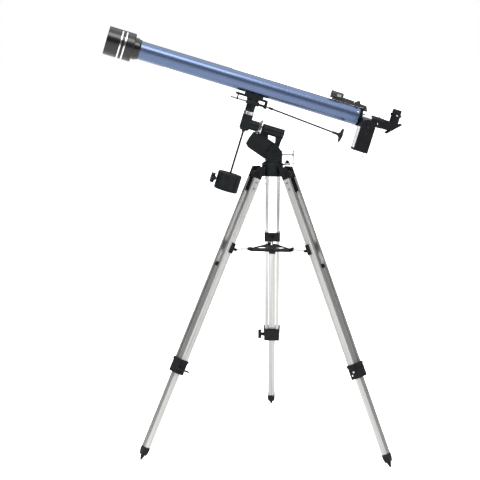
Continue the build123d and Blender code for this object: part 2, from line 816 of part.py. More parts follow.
with BuildPart() as dec_housing:
    add(
        turned(
            profile(dec_origin),
            [
                (0, dec_low),
                (dec_radius - 5.0, dec_low),
                (dec_radius, dec_low + 7.0),
                (dec_radius, dec_high),
                (dec_boss_radius, dec_high),
                (dec_boss_radius, dec_high + dec_circle_height + 0.6),
                (0, dec_high + dec_circle_height + 0.6),
            ],
            dec_axis,
        )
    )
    with BuildSketch(across(dec_origin, 0)):
        Circle(collar_radius)
    extrude(amount=dec_offset + collar_end)
    with BuildSketch(across(dec_origin, dec_radius)):
        Circle(polar_shaft_radius)
    extrude(amount=dec_offset, mode=Mode.SUBTRACT)
    with BuildSketch(upright(dec_origin, 0, dec_low + 12.0)):
        Circle(dec_shaft_radius + running_gap)
    extrude(amount=dec_high - dec_low + dec_circle_height, mode=Mode.SUBTRACT)
    with BuildSketch(upright(dec_origin, 0, dec_low - 1.0)):
        Circle(rod_radius)
    extrude(amount=11.0, mode=Mode.SUBTRACT)
write(dec_housing, "dec_housing")

with BuildPart() as polar_shaft:
    with BuildSketch(across(dec_origin, dec_radius)):
        Circle(polar_shaft_radius)
    extrude(amount=dec_offset - dec_radius + barrel_end - 8.0)
write(polar_shaft, "polar_shaft")

with BuildPart() as dec_circle:
    with BuildSketch(upright(dec_origin, 0, dec_high + 0.3)):
        Circle(dec_radius)
        Circle(dec_boss_radius + running_gap, mode=Mode.SUBTRACT)
    extrude(amount=dec_circle_height - 0.3)
write(dec_circle, "dec_circle")

with BuildPart() as counterweight_rod:
    with BuildSketch(upright(dec_origin, 0, dec_low + 10.0)):
        Circle(rod_radius)
    extrude(amount=-(weight_drop + weight_height / 2 + dec_low + 6.0))
    with BuildSketch(upright(dec_origin, 0, dec_low)):
        Circle(rod_radius + 2.5)
    extrude(amount=-5.0)
write(counterweight_rod, "counterweight_rod")

weight_origin = dec_origin - rise * weight_drop
weight_half = weight_height / 2
with BuildPart() as counterweight:
    add(
        turned(
            profile(weight_origin),
            [
                (rod_radius + running_gap, -weight_half + 8.0),
                (11.0, -weight_half + 8.0),
                (11.0, -weight_half),
                (weight_radius - 2.5, -weight_half),
                (weight_radius, -weight_half + 2.5),
                (weight_radius, weight_half - 2.5),
                (weight_radius - 2.5, weight_half),
                (rod_radius + running_gap, weight_half),
            ],
            Axis(weight_origin, rise),
        )
    )
    with BuildSketch(across(weight_origin, -weight_radius - 1.0)):
        Circle(3.0 + running_gap)
    extrude(amount=weight_radius, mode=Mode.SUBTRACT)
write(counterweight, "counterweight")

with BuildPart() as weight_knob:
    with BuildSketch(across(weight_origin, -rod_radius - body_gap)):
        Circle(3.0)
    extrude(amount=-(weight_radius + 6.0 - rod_radius))
    with BuildSketch(across(weight_origin, -weight_radius - 2.0)):
        Circle(7.0)
    extrude(amount=-6.0)
    with BuildSketch(across(weight_origin, -weight_radius - 7.0)):
        Circle(weight_knob_radius * 0.72)
        with PolarLocations(weight_knob_radius * 0.68, 6):
            Circle(weight_knob_radius * 0.32)
    extrude(amount=-12.0)
write(weight_knob, "weight_knob")

# ================================================================ saddle
plate_start, plate_end = plate_span
worm_height = tube_offset - worm_drop
neck_bottom = dec_high + dec_circle_height + 1.0

with BuildPart() as saddle:
    add(
        turned(
            profile(dec_origin),
            [
                (0, neck_bottom),
                (neck_radius - 1.0, neck_bottom),
                (neck_radius, neck_bottom + 1.0),
                (neck_radius, neck_top),
                (neck_radius + 6.0, tube_offset - plate_drop),
                (0, tube_offset - plate_drop),
            ],
            dec_axis,
        )
    )
    with BuildSketch(profile(tube_origin)):
        with Locations(((plate_start + plate_end) / 2, plate_thickness / 2 - plate_drop)):
            Rectangle(plate_end - plate_start, plate_thickness)
        with Locations((0, -(plate_drop + tube_radius) / 2 + 2.0)):
            Rectangle(2 * cradle_half, plate_drop - tube_radius + 4.0)
    extrude(amount=plate_width / 2, both=True)
    # cradle for the tube
    with BuildSketch(across(tube_origin, plate_start - 5.0)):
        Circle(tube_radius)
    extrude(amount=plate_end - plate_start + 10.0, mode=Mode.SUBTRACT)
    # worm tube in front of the neck, and two posts for its shaft
    with BuildSketch(across(tube_origin, -22.0, -worm_drop, worm_side)):
        Circle(7.5)
    extrude(amount=44.0)
    with BuildSketch(profile(tube_origin, y=worm_side)):
        with Locations((44.5, -(plate_drop + worm_drop + 5.5) / 2)):
            Rectangle(9.0, worm_drop + 5.5 - plate_drop + 4.0)
        with Locations((32.0, -worm_drop)):
            Rectangle(26.0, 8.0)
        with Locations((-54.0, -(plate_drop + worm_drop) / 2)):
            Rectangle(4.0, worm_drop - plate_drop + 7.0)
    extrude(amount=4.5, both=True)
    with BuildSketch(across(tube_origin, -14.0, -worm_drop, worm_side)):
        Circle(worm_radius + body_gap)
    extrude(amount=28.0, mode=Mode.SUBTRACT)
    with BuildSketch(across(tube_origin, plate_start - 20.0, -worm_drop, worm_side)):
        Circle(worm_shaft_radius + running_gap)
    extrude(amount=plate_end - plate_start + 40.0, mode=Mode.SUBTRACT)
    # seat of the declination shaft and room for the worm wheel
    with BuildSketch(upright(dec_origin, 0, neck_bottom - 1.0)):
        Circle(dec_shaft_radius)
    extrude(amount=worm_height + 14.0 - neck_bottom, mode=Mode.SUBTRACT)
write(saddle, "saddle")

with BuildPart() as dec_shaft:
    with BuildSketch(upright(dec_origin, 0, dec_low + 13.0)):
        Circle(dec_shaft_radius)
    extrude(amount=worm_height + 13.0 - dec_low - 13.0)
write(dec_shaft, "dec_shaft")

with BuildPart() as worm_shaft:
    with BuildSketch(across(tube_origin, plate_start - 17.0, -worm_drop, worm_side)):
        Circle(worm_shaft_radius)
    extrude(amount=control_start - 1.0 - plate_start + 17.0)
    with BuildSketch(across(tube_origin, -12.0, -worm_drop, worm_side)):
        Circle(worm_radius)
    extrude(amount=24.0)
    # turns of the worm
    for turn in range(5):
        with BuildSketch(across(tube_origin, -10.0 + 4.0 * turn, -worm_drop, worm_side)):
            Circle(worm_radius + 1.0)
            Circle(worm_radius - 0.8, mode=Mode.SUBTRACT)
        extrude(amount=2.0, mode=Mode.SUBTRACT)
write(worm_shaft, "worm_shaft")

droop = math.radians(latitude + control_droop)
control_line = Vector(math.cos(droop), 0, -math.sin(droop))
control_origin = point(tube_origin, control_start, -worm_drop, worm_side)


def control_plane(distance):
    return Plane(origin=control_origin + control_line * distance, x_dir=(0, 1, 0), z_dir=control_line)


with BuildPart() as slow_motion_control:
    with BuildSketch(control_plane(0)):
        Circle(4.4)
    extrude(amount=14.0)
    with BuildSketch(control_plane(14.0)):
        Circle(control_radius)
    extrude(amount=control_length - 44.0)
    with BuildSketch(control_plane(control_length - 30.0)):
        Circle(4.4)
    extrude(amount=20.0)
    add(
        turned(
            Plane(origin=control_origin, x_dir=control_line, z_dir=(0, -1, 0)),
            [
                (control_length - 10.0, 0),
                (control_length - 10.0, 7.0),
                (control_length - 4.5, 10.0),
                (control_length - 2.0, control_knob_radius - 2.0),
                (control_length, control_knob_radius),
                (control_length + 1.5, control_knob_radius - 0.5),
                (control_length + 5.0, 11.0),
                (control_length + 6.0, 0),
            ],
            Axis(control_origin, control_line),
        )
    )
write(slow_motion_control, "slow_motion_control")

# ================================================================ optical tube
tube_start, tube_end = tube_span
cell_start = tube_start - cell_length
bore_radius = tube_radius - tube_wall

with BuildPart() as telescope_tube:
    with BuildSketch(across(tube_origin, tube_start)):
        Circle(tube_radius)
        Circle(bore_radius, mode=Mode.SUBTRACT)
    extrude(amount=tube_end - tube_start)
write(telescope_tube, "telescope_tube")

lens_seat = tube_start - 12.0
with BuildPart() as objective_cell:
    add(
        turned(
            profile(tube_origin),
            [
                (cell_start, cell_radius - 1.5),
                (cell_start, lens_radius),
                (lens_seat, lens_radius),
                (lens_seat, lens_radius - 3.0),
                (tube_start + 12.0, lens_radius - 3.0),
                (tube_start + 12.0, bore_radius),
                (tube_start, bore_radius),
                (tube_start, tube_radius + 1.5),
                (tube_start - 6.0, cell_radius),
                (cell_start + 1.5, cell_radius),
            ],
            tube_axis,
        )
    )
write(objective_cell, "objective_cell")

with BuildPart() as objective_lens:
    add(
        turned(
            profile(tube_origin),
            [
                (lens_seat, 0),
                (lens_seat, lens_radius),
                (lens_seat - lens_thickness + 2.0, lens_radius),
                (lens_seat - lens_thickness + 0.7, lens_radius * 0.6),
                (lens_seat - lens_thickness, 0),
            ],
            tube_axis,
        )
    )
write(objective_lens, "objective_lens")

shade_back = cell_start + 2.0
shade_front = shade_back - shade_length
with BuildPart() as dew_shield:
    add(
        turned(
            profile(tube_origin),
            [
                (shade_back, cell_radius + body_gap),
                (shade_back, shade_radius - 2.0),
                (shade_back - 2.0, shade_radius),
                (shade_front, shade_radius),
                (shade_front, shade_radius - shade_wall),
                (shade_back - 3.0, shade_radius - shade_wall),
                (shade_back - 3.0, cell_radius + body_gap),
            ],
            tube_axis,
        )
    )
    # sleeve that slips over the cell
    with BuildSketch(across(tube_origin, shade_back - 3.0)):
        Circle(cell_radius + body_gap + 2.0)
        Circle(cell_radius + body_gap, mode=Mode.SUBTRACT)
    extrude(amount=16.0)
write(dew_shield, "dew_shield")

# ================================================================ focuser
draw_start, draw_end = draw_span
collar_start, collar_stop = draw_collar
pinion_drop = draw_radius + 2.0 + pinion_radius + slide_gap

with BuildPart() as focuser_body:
    add(
        turned(
            profile(tube_origin),
            [
                (tube_end - 14.0, draw_radius + running_gap),
                (tube_end - 14.0, bore_radius),
                (tube_end, bore_radius),
                (tube_end, tube_radius - 2.0),
                (tube_end + 4.0, tube_radius - 3.0),
                (tube_end + 14.0, draw_radius + 5.0),
                (tube_end + 14.0, draw_radius + running_gap),
            ],
            tube_axis,
        )
    )
    # pinion housing under the drawtube
    with BuildSketch(profile(tube_origin)):
        with Locations(((tube_end + pinion_station + 8.0) / 2 + 2.0, -pinion_drop)):
            Rectangle(pinion_station + 12.0 - tube_end, 17.0)
    extrude(amount=15.0, both=True)
    with BuildSketch(across(tube_origin, tube_end - 30.0)):
        Circle(draw_radius + running_gap)
    extrude(amount=90.0, mode=Mode.SUBTRACT)
    with BuildSketch(profile(tube_origin)):
        with Locations(((pinion_station + tube_end) / 2, -draw_radius - 2.0)):
            Rectangle(pinion_station - tube_end + 60.0, 5.0)
    extrude(amount=4.0, both=True, mode=Mode.SUBTRACT)
    with BuildSketch(profile(tube_origin)):
        with Locations((pinion_station, -pinion_drop)):
            Circle(pinion_radius + body_gap)
    extrude(amount=6.0, both=True, mode=Mode.SUBTRACT)
    with BuildSketch(profile(tube_origin)):
        with Locations((pinion_station, -pinion_drop)):
            Circle(pinion_shaft_radius + running_gap)
    extrude(amount=40.0, both=True, mode=Mode.SUBTRACT)
    # dovetail foot for the finder
    with BuildSketch(profile(tube_origin)):
        with BuildLine():
            Polyline(
                (tube_end, draw_radius + 4.0),
                (tube_end + 1.0, tube_radius + 1.0),
                (tube_end + 14.0, tube_radius + 1.0),
                (tube_end + 14.0, draw_radius + 3.0),
                close=True,
            )
        make_face()
    extrude(amount=7.0, both=True)
write(focuser_body, "focuser_body")

with BuildPart() as focus_drawtube:
    with BuildSketch(across(tube_origin, draw_start)):
        Circle(draw_radius)
    extrude(amount=draw_end - draw_start)
    # rack along the underside
    with BuildSketch(profile(tube_origin)):
        with Locations(((draw_start + collar_start) / 2, -draw_radius)):
            Rectangle(collar_start - draw_start - 4.0, 4.0)
    extrude(amount=3.0, both=True)
    with BuildSketch(across(tube_origin, draw_start)):
        Circle(draw_radius - draw_wall)
    extrude(amount=draw_end - draw_start, mode=Mode.SUBTRACT)
write(focus_drawtube, "focus_drawtube")

with BuildPart() as drawtube_collar:
    with BuildSketch(across(tube_origin, collar_start)):
        Circle(collar_outer)
        Circle(draw_radius, mode=Mode.SUBTRACT)
    extrude(amount=collar_stop - collar_start)
    chamfer(drawtube_collar.edges().group_by(Axis(tube_origin, along))[-1].sort_by(SortBy.RADIUS)[-1:], length=1.0)
    with BuildSketch(upright(tube_origin, collar_stop - 8.0, 0)):
        Circle(1.3 + running_gap)
    extrude(amount=collar_outer + 5.0, mode=Mode.SUBTRACT)
write(drawtube_collar, "drawtube_collar")

drive_face = drive_side - drive_depth
with BuildPart() as focus_pinion:
    with BuildSketch(profile(tube_origin)):
        with Locations((pinion_station, -pinion_drop)):
            Circle(pinion_radius)
    extrude(amount=5.5, both=True)
    with BuildSketch(profile(tube_origin)):
        with Locations((pinion_station, -pinion_drop)):
            Circle(pinion_shaft_radius)
    extrude(amount=-drive_side + 14.0)
    with BuildSketch(profile(tube_origin)):
        with Locations((pinion_station, -pinion_drop)):
            Circle(pinion_shaft_radius)
    extrude(amount=-24.0)
    with BuildSketch(profile(tube_origin, y=20.0)):
        with Locations((pinion_station, -pinion_drop)):
            Circle(14.0)
    extrude(amount=-4.0)
    with BuildSketch(profile(tube_origin, y=24.0)):
        with Locations((pinion_station, -pinion_drop)):
            Circle(17.0)
            with PolarLocations(17.4, 24):
                Circle(1.0, mode=Mode.SUBTRACT)
    extrude(amount=-12.0)
write(focus_pinion, "focus_pinion")


def drive_outline(inset):
    # rounded at the top about the pinion, square at the bottom
    half = drive_width / 2 - inset
    with BuildSketch(Plane.XY) as outline:
        Circle(half)
        with Locations((0, -(drive_length - inset) / 2)):
            Rectangle(2 * half, drive_length - inset)
    return outline.sketch


drive_origin = point(tube_origin, pinion_station, -pinion_drop)


switch_origin = (
    drive_origin
    + along * switch_station
    - rise * (drive_length - drive_wall)
    + side * (drive_side - switch_side)
)


def drive_plane(y):
    return Plane(origin=drive_origin + side * y, x_dir=along, z_dir=(0, -1, 0))


with BuildPart() as focus_drive_case:
    with BuildSketch(drive_plane(drive_side)):
        add(drive_outline(0))
    extrude(amount=drive_depth - drive_lid)
    with BuildSketch(drive_plane(drive_side - drive_wall)):
        add(drive_outline(drive_wall))
    extrude(amount=drive_depth, mode=Mode.SUBTRACT)
    with BuildSketch(drive_plane(drive_side + 1.0)):
        Circle(pinion_shaft_radius + running_gap)
    extrude(amount=drive_wall + 2.0, mode=Mode.SUBTRACT)
    # opening for the switch lever
    with BuildSketch(Plane(origin=switch_origin, x_dir=along, z_dir=rise)):
        Rectangle(3 * switch_radius + 4 * body_gap, 2 * switch_pin_half + 2 * body_gap)
    extrude(amount=2 * drive_wall, both=True, mode=Mode.SUBTRACT)
    # neck that bolts to the pinion housing
    with BuildSketch(drive_plane(-15.0)):
        Circle(8.0)
        Circle(pinion_shaft_radius + running_gap, mode=Mode.SUBTRACT)
    extrude(amount=-drive_side - 15.0)
write(focus_drive_case, "focus_drive_case")

with BuildPart() as focus_drive_cover:
    with BuildSketch(drive_plane(drive_face + drive_lid)):
        add(drive_outline(0))
    extrude(amount=drive_lid)
    with BuildSketch(drive_plane(drive_face)):
        Circle(4.5)
        with Locations((0, -22.0)):
            Circle(3.2)
    extrude(amount=-1.0, mode=Mode.SUBTRACT)
write(focus_drive_cover, "focus_drive_cover")

# switch lever under the drive
with BuildPart() as focus_switch:
    with BuildSketch(Plane(origin=switch_origin, x_dir=along, z_dir=rise)):
        Circle(switch_radius)
    extrude(amount=-switch_reach)
    with Locations(switch_origin - rise * switch_reach):
        Sphere(switch_radius + 0.3)
    # its pivot
    with BuildSketch(Plane(origin=switch_origin, x_dir=along, z_dir=(0, -1, 0))):
        Circle(switch_radius + 0.3)
    extrude(amount=switch_pin_half, both=True)
write(focus_switch, "focus_switch")

# ================================================================ star diagonal
holder_axis = point(tube_origin, diagonal_station)
diagonal_start = collar_stop + 0.5
mirror_depth = mirror_step / math.sqrt(2)
facing_back = (along - rise).normalized()
plate_face = Plane(
    origin=holder_axis + facing_back * mirror_depth,
    x_dir=(along + rise).normalized(),
    z_dir=facing_back,
)

with BuildPart() as star_diagonal:
    with BuildSketch(across(tube_origin, collar_stop - 28.0)):
        Circle(draw_radius - draw_wall - 0.2)
    extrude(amount=30.0)
    with BuildSketch(across(tube_origin, diagonal_start)):
        Circle(collar_outer - 0.5)
    extrude(amount=8.0)
    with BuildSketch(across(tube_origin, diagonal_start + 8.0)):
        Rectangle(2 * holder_radius, 2 * holder_radius)
    extrude(amount=diagonal_station + holder_radius - diagonal_start - 8.0)
    with BuildSketch(upright(tube_origin, diagonal_station, 0)):
        Circle(holder_radius)
    extrude(amount=holder_top)
    with BuildSketch(upright(tube_origin, diagonal_station, holder_top - holder_collar)):
        Circle(holder_radius + 1.5)
    extrude(amount=holder_collar)
    # the corner is cut off at 45 degrees behind the mirror
    with BuildSketch(profile(tube_origin)):
        with BuildLine():
            Polyline(
                (diagonal_station - mirror_reach + mirror_step, -mirror_reach),
                (diagonal_station + mirror_reach, -mirror_reach),
                (diagonal_station + mirror_reach, mirror_reach - mirror_step),
                close=True,
            )
        make_face()
    extrude(amount=mirror_reach, both=True, mode=Mode.SUBTRACT)
    # light path
    with BuildSketch(across(tube_origin, collar_stop - 30.0)):
        Circle(light_radius)
    extrude(amount=diagonal_station - collar_stop + 30.0 + elbow_overlap, mode=Mode.SUBTRACT)
    with BuildSketch(upright(tube_origin, diagonal_station, -elbow_overlap)):
        Circle(light_radius - elbow_step)
    extrude(amount=holder_top - 26.0 + elbow_overlap, mode=Mode.SUBTRACT)
    with BuildSketch(upright(tube_origin, diagonal_station, holder_top - 26.0)):
        Circle(eyepiece_bore)
    extrude(amount=27.0, mode=Mode.SUBTRACT)
    with BuildSketch(plate_face):
        Rectangle(mirror_length, mirror_width)
    extrude(amount=-mirror_depth, mode=Mode.SUBTRACT)
write(star_diagonal, "star_diagonal")

# back plate of the diagonal, and the mirror behind the light path
with BuildPart() as diagonal_cover:
    with BuildSketch(plate_face):
        RectangleRounded(cover_length, 2 * holder_radius + 2.0, 2.0)
    extrude(amount=cover_thickness)
write(diagonal_cover, "diagonal_cover")

with BuildPart() as diagonal_mirror:
    with BuildSketch(plate_face):
        Rectangle(mirror_length, mirror_width)
    extrude(amount=-mirror_depth + 0.5)
write(diagonal_mirror, "diagonal_mirror")

with BuildPart() as eyepiece:
    add(
        turned(
            profile(holder_axis),
            [
                (0, holder_top - 24.0),
                (eyepiece_bore - running_gap, holder_top - 24.0),
                (eyepiece_bore - running_gap, holder_top),
                (holder_radius - 0.5, holder_top + 0.2),
                (holder_radius - 0.5, eyepiece_top - 3.0),
                (holder_radius - 2.5, eyepiece_top),
                (7.5, eyepiece_top),
                (6.0, eyepiece_top - 2.0),
                (0, eyepiece_top - 2.0),
            ],
            Axis(holder_axis, rise),
        )
    )
write(eyepiece, "eyepiece")

# ================================================================ finder
finder_start, finder_end = finder_span
foot_start = tube_end + 14.0

with BuildPart() as finder_body:
    add(
        turned(
            profile(tube_origin, up=finder_axis),
            [
                (finder_start, finder_radius - 1.5),
                (finder_start, finder_radius + 1.0),
                (finder_start + 3.0, finder_radius + 1.0),
                (finder_start + 4.0, finder_radius),
                (finder_end, finder_radius),
                (finder_end, finder_radius - 1.5),
            ],
            Axis(point(tube_origin, 0, finder_axis), along),
        )
    )
    # beam above the tube, then the block that stands on the focuser
    with BuildSketch(profile(tube_origin)):
        with BuildLine():
            Polyline(
                (finder_start + 8.0, tube_radius + slide_gap),
                (finder_start + 8.0, finder_axis - finder_radius + 1.0),
                (finder_end + 2.0, finder_axis - finder_radius + 5.0),
                (finder_end + 4.0, finder_axis - 1.0),
                (tube_end - 6.0, finder_axis - 3.0),
                (tube_end - 3.0, finder_axis - 5.0),
                (tube_end + 19.0, finder_axis - 6.0),
                (tube_end + 27.0, tube_radius - 7.0),
                (foot_start + 1.0, tube_radius - 8.5),
                (foot_start + 0.5, tube_radius - 6.0),
                (tube_end + 15.0, tube_radius + 1.5),
                (tube_end - 1.0, tube_radius + 1.5),
                (tube_end - 1.0, tube_radius + slide_gap),
                close=True,
            )
        make_face()
    extrude(amount=7.5, both=True)
    with BuildSketch(across(tube_origin, finder_start, finder_axis)):
        Circle(finder_radius - 1.5)
    extrude(amount=finder_end - finder_start, mode=Mode.SUBTRACT)
    with BuildSketch(profile(tube_origin)):
        with Locations((tube_end - 12.0, finder_axis - 3.0)):
            Circle(2.0 + running_gap)
    extrude(amount=10.0, mode=Mode.SUBTRACT)
write(finder_body, "finder_body")

with BuildPart() as finder_knob:
    with BuildSketch(profile(tube_origin)):
        with Locations((tube_end - 12.0, finder_axis - 3.0)):
            Circle(2.0)
    extrude(amount=12.0)
    with BuildSketch(profile(tube_origin, y=-8.0)):
        with Locations((tube_end - 12.0, finder_axis - 3.0)):
            Circle(6.6)
            with PolarLocations(6.9, 16):
                Circle(0.7, mode=Mode.SUBTRACT)
    extrude(amount=6.0)
write(finder_knob, "finder_knob")
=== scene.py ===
import json
import math

import bmesh
import bpy
from mathutils import Matrix, Vector


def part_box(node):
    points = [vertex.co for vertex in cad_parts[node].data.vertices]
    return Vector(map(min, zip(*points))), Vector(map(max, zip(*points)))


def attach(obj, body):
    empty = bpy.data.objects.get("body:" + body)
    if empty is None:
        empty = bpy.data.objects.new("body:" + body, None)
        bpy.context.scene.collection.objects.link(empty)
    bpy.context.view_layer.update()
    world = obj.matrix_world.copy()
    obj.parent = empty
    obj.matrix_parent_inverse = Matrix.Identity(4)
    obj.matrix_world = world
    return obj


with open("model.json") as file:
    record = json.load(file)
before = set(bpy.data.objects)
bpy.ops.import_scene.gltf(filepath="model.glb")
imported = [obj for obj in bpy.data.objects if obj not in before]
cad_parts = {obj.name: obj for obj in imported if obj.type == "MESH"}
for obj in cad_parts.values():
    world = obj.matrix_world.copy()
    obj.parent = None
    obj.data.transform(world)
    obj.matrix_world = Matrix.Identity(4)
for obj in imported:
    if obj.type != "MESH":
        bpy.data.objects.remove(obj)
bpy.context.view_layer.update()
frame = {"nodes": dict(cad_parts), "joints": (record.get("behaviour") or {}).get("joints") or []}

mm = 0.001
print("frame loaded:", len(frame["nodes"]), "nodes")

# the telescope's own directions, read from the joints
joints = {joint["name"]: joint for joint in frame["joints"]}


def axisOf(name):
    return Vector(joints[name]["axis"]).normalized()


def placeOf(name):
    return Vector(joints[name]["pos_m"])


def middleOf(node):
    low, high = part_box(node)
    return (low + high) / 2


along = -axisOf("dew_shield_slide")      # towards the eyepiece
rise = axisOf("weight_slide")            # up, square to the tube
side = along.cross(rise) * -1            # away from the focus drive
decOrigin = placeOf("dec_turn")
tubeOrigin = decOrigin + rise * (middleOf("telescope_tube") - decOrigin).dot(rise)


def onTube(s, up=0.0, across=0.0):
    # a point in millimetres from where the declination axis meets the tube's centre line
    return tubeOrigin + (along * s + rise * up + side * across) * mm


def reach(node, direction, origin):
    # how far a node reaches along a direction, in millimetres
    spots = [(v.co - origin).dot(direction) / mm for v in frame["nodes"][node].data.vertices]
    return min(spots), max(spots)


class LegFrame:
    # directions of one leg: down it, outward from the tripod, and across it
    def __init__(self, name):
        self.name = name
        self.hinge = placeOf(name + "_leg_fold")
        self.across = axisOf(name + "_leg_fold")
        self.down = -axisOf(name + "_leg_slide")
        self.out = self.down.cross(self.across)

    def spot(self, down, out=0.0, across=0.0):
        return self.hinge + (self.down * down + self.out * out + self.across * across) * mm


legs = [LegFrame(name) for name in ("back", "left", "right")]


# mesh tools
def turnedFrame(origin, axis, upHint=None):
    # columns: X and Y across the axis, Z along it
    axis = axis.normalized()
    hint = upHint or (Vector((0, 0, 1)) if abs(axis.z) < 0.9 else Vector((1, 0, 0)))
    x = (hint - axis * hint.dot(axis)).normalized()
    y = axis.cross(x)
    matrix = Matrix((x, y, axis)).transposed().to_4x4()
    matrix.translation = origin
    return matrix


def smooth(obj, angle=32):
    # round faces shade smoothly, and edges sharper than the angle stay crisp
    mesh = obj.data
    for face in mesh.polygons:
        face.use_smooth = True
    work = bmesh.new()
    work.from_mesh(mesh)
    limit = math.radians(angle)
    sharp = [len(e.link_faces) == 2 and e.calc_face_angle(0.0) > limit for e in work.edges]
    work.free()
    mark = mesh.attributes.get("sharp_edge") or mesh.attributes.new("sharp_edge", "BOOLEAN", "EDGE")
    for index, value in enumerate(sharp):
        mark.data[index].value = value


def newPiece(name, work, matrix, material, body):
    bmesh.ops.recalc_face_normals(work, faces=work.faces)
    mesh = bpy.data.meshes.new(name)
    work.transform(matrix)
    work.to_mesh(mesh)
    work.free()
    obj = bpy.data.objects.new(name, mesh)
    bpy.context.scene.collection.objects.link(obj)
    mesh.materials.append(material)
    smooth(obj)
    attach(obj, body)
    return obj


def addLathe(work, outline, steps=64, ripple=None):
    # a closed outline of (distance along Z, radius) in millimetres, turned about Z
    rings = []
    for z, radius in outline:
        ring = []
        for k in range(steps):
            turn = 2 * math.pi * k / steps
            r = radius * (ripple(turn, z, radius) if ripple else 1.0)
            x, y = r * math.cos(turn), r * math.sin(turn)
            ring.append(work.verts.new((x * mm, y * mm, z * mm)))
        rings.append(ring)
    count = len(rings)
    for i in range(count):
        a, b = rings[i], rings[(i + 1) % count]
        for k in range(steps):
            n = (k + 1) % steps
            work.faces.new((a[k], a[n], b[n], b[k]))
    bmesh.ops.remove_doubles(work, verts=work.verts, dist=1e-7)


def addPrism(work, outline, low, high, bevel=0.0):
    # an outline in X and Y, millimetres, raised from low to high along Z
    bottom = [work.verts.new((x * mm, y * mm, low * mm)) for x, y in outline]
    top = [work.verts.new((x * mm, y * mm, high * mm)) for x, y in outline]
    faces = [work.faces.new(bottom), work.faces.new(top)]
    for k in range(len(outline)):
        n = (k + 1) % len(outline)
        faces.append(work.faces.new((bottom[k], bottom[n], top[n], top[k])))
    bmesh.ops.recalc_face_normals(work, faces=faces)
    if bevel:
        edges = {e for f in faces for e in f.edges}
        bmesh.ops.bevel(work, geom=list(edges), offset=bevel * mm, segments=2, affect="EDGES", profile=0.6)


def boxOutline(width, depth):
    x, y = width / 2, depth / 2
    return [(-x, -y), (x, -y), (x, y), (-x, y)]


socketSize = 1.08


def hexRecess(start):
    # inside the recess the round section becomes a hexagon
    def shape(turn, z, radius):
        if radius > start:
            return 1.0
        part = (turn % (math.pi / 3)) - math.pi / 6
        return math.cos(math.pi / 6) / math.cos(part) * socketSize
    return shape


def screwHead(name, origin, axis, radius, height, material, body):
    # domed head with a hexagon socket
    hole = radius * 0.48
    outline = [
        (0, 0), (0, radius), (height * 0.45, radius), (height * 0.8, radius * 0.88),
        (height, radius * 0.62), (height, hole), (height * 0.35, hole), (height * 0.35, 0),
    ]
    work = bmesh.new()
    addLathe(work, outline, 36, ripple=hexRecess(hole * 1.01))
    return newPiece(name, work, turnedFrame(origin, axis), material, body)


def thumbScrew(name, origin, axis, values, material, body):
    # a thin shank and a knurled grip
    shank, grip = values["shank"], values["grip"]
    start, length, total = values["start"], values["gripLength"], values["length"]
    work = bmesh.new()
    outline = [
        (0, 0), (0, shank), (start, shank), (start, grip * 0.7), (start + 0.6, grip),
        (start + length - 0.6, grip), (start + length, grip * 0.85), (total, grip * 0.5), (total, 0),
    ]
    def ripple(turn, z, radius):
        return 1.0 + 0.06 * math.cos(18 * turn) if radius > grip * 0.95 else 1.0
    addLathe(work, outline, 72, ripple=ripple)
    return newPiece(name, work, turnedFrame(origin, axis), material, body)


# node groups
def newGroup(name, inputs, outputs):
    group = bpy.data.node_groups.new(name, "ShaderNodeTree")
    for label, kind, value in inputs:
        socket = group.interface.new_socket(name=label, in_out="INPUT", socket_type=kind)
        socket.default_value = value
    for label, kind in outputs:
        group.interface.new_socket(name=label, in_out="OUTPUT", socket_type=kind)
    inside = group.nodes
    return group, inside.new("NodeGroupInput"), inside.new("NodeGroupOutput")


def maths(tree, operation, a, b=None, clamp=False, addend=None):
    node = tree.nodes.new("ShaderNodeMath")
    node.operation = operation
    node.use_clamp = clamp
    for index, value in enumerate((a, b, addend)):
        if value is None:
            continue
        if isinstance(value, (int, float)):
            node.inputs[index].default_value = value
        else:
            tree.links.new(value, node.inputs[index])
    return node.outputs[0]


def noiseAt(tree, vector, scale, detail=3.0, roughness=0.55):
    node = tree.nodes.new("ShaderNodeTexNoise")
    node.inputs["Detail"].default_value = detail
    node.inputs["Roughness"].default_value = roughness
    if isinstance(scale, (int, float)):
        node.inputs["Scale"].default_value = scale
    else:
        tree.links.new(scale, node.inputs["Scale"])
    tree.links.new(vector, node.inputs["Vector"])
    return node.outputs["Fac"]


def objectPoint(tree):
    return tree.nodes.new("ShaderNodeTexCoord").outputs["Object"]


def makeGrainGroup():
    # fine surface grain with a slower mottle under it
    group, given, out = newGroup(
        "surfaceGrain",
        [("Scale", "NodeSocketFloat", 900.0), ("Mottle Scale", "NodeSocketFloat", 18.0)],
        [("Height", "NodeSocketFloat"), ("Mottle", "NodeSocketFloat")],
    )
    spot = objectPoint(group)
    group.links.new(noiseAt(group, spot, given.outputs["Scale"], 4.0), out.inputs["Height"])
    group.links.new(noiseAt(group, spot, given.outputs["Mottle Scale"], 5.0, 0.6), out.inputs["Mottle"])
    return group


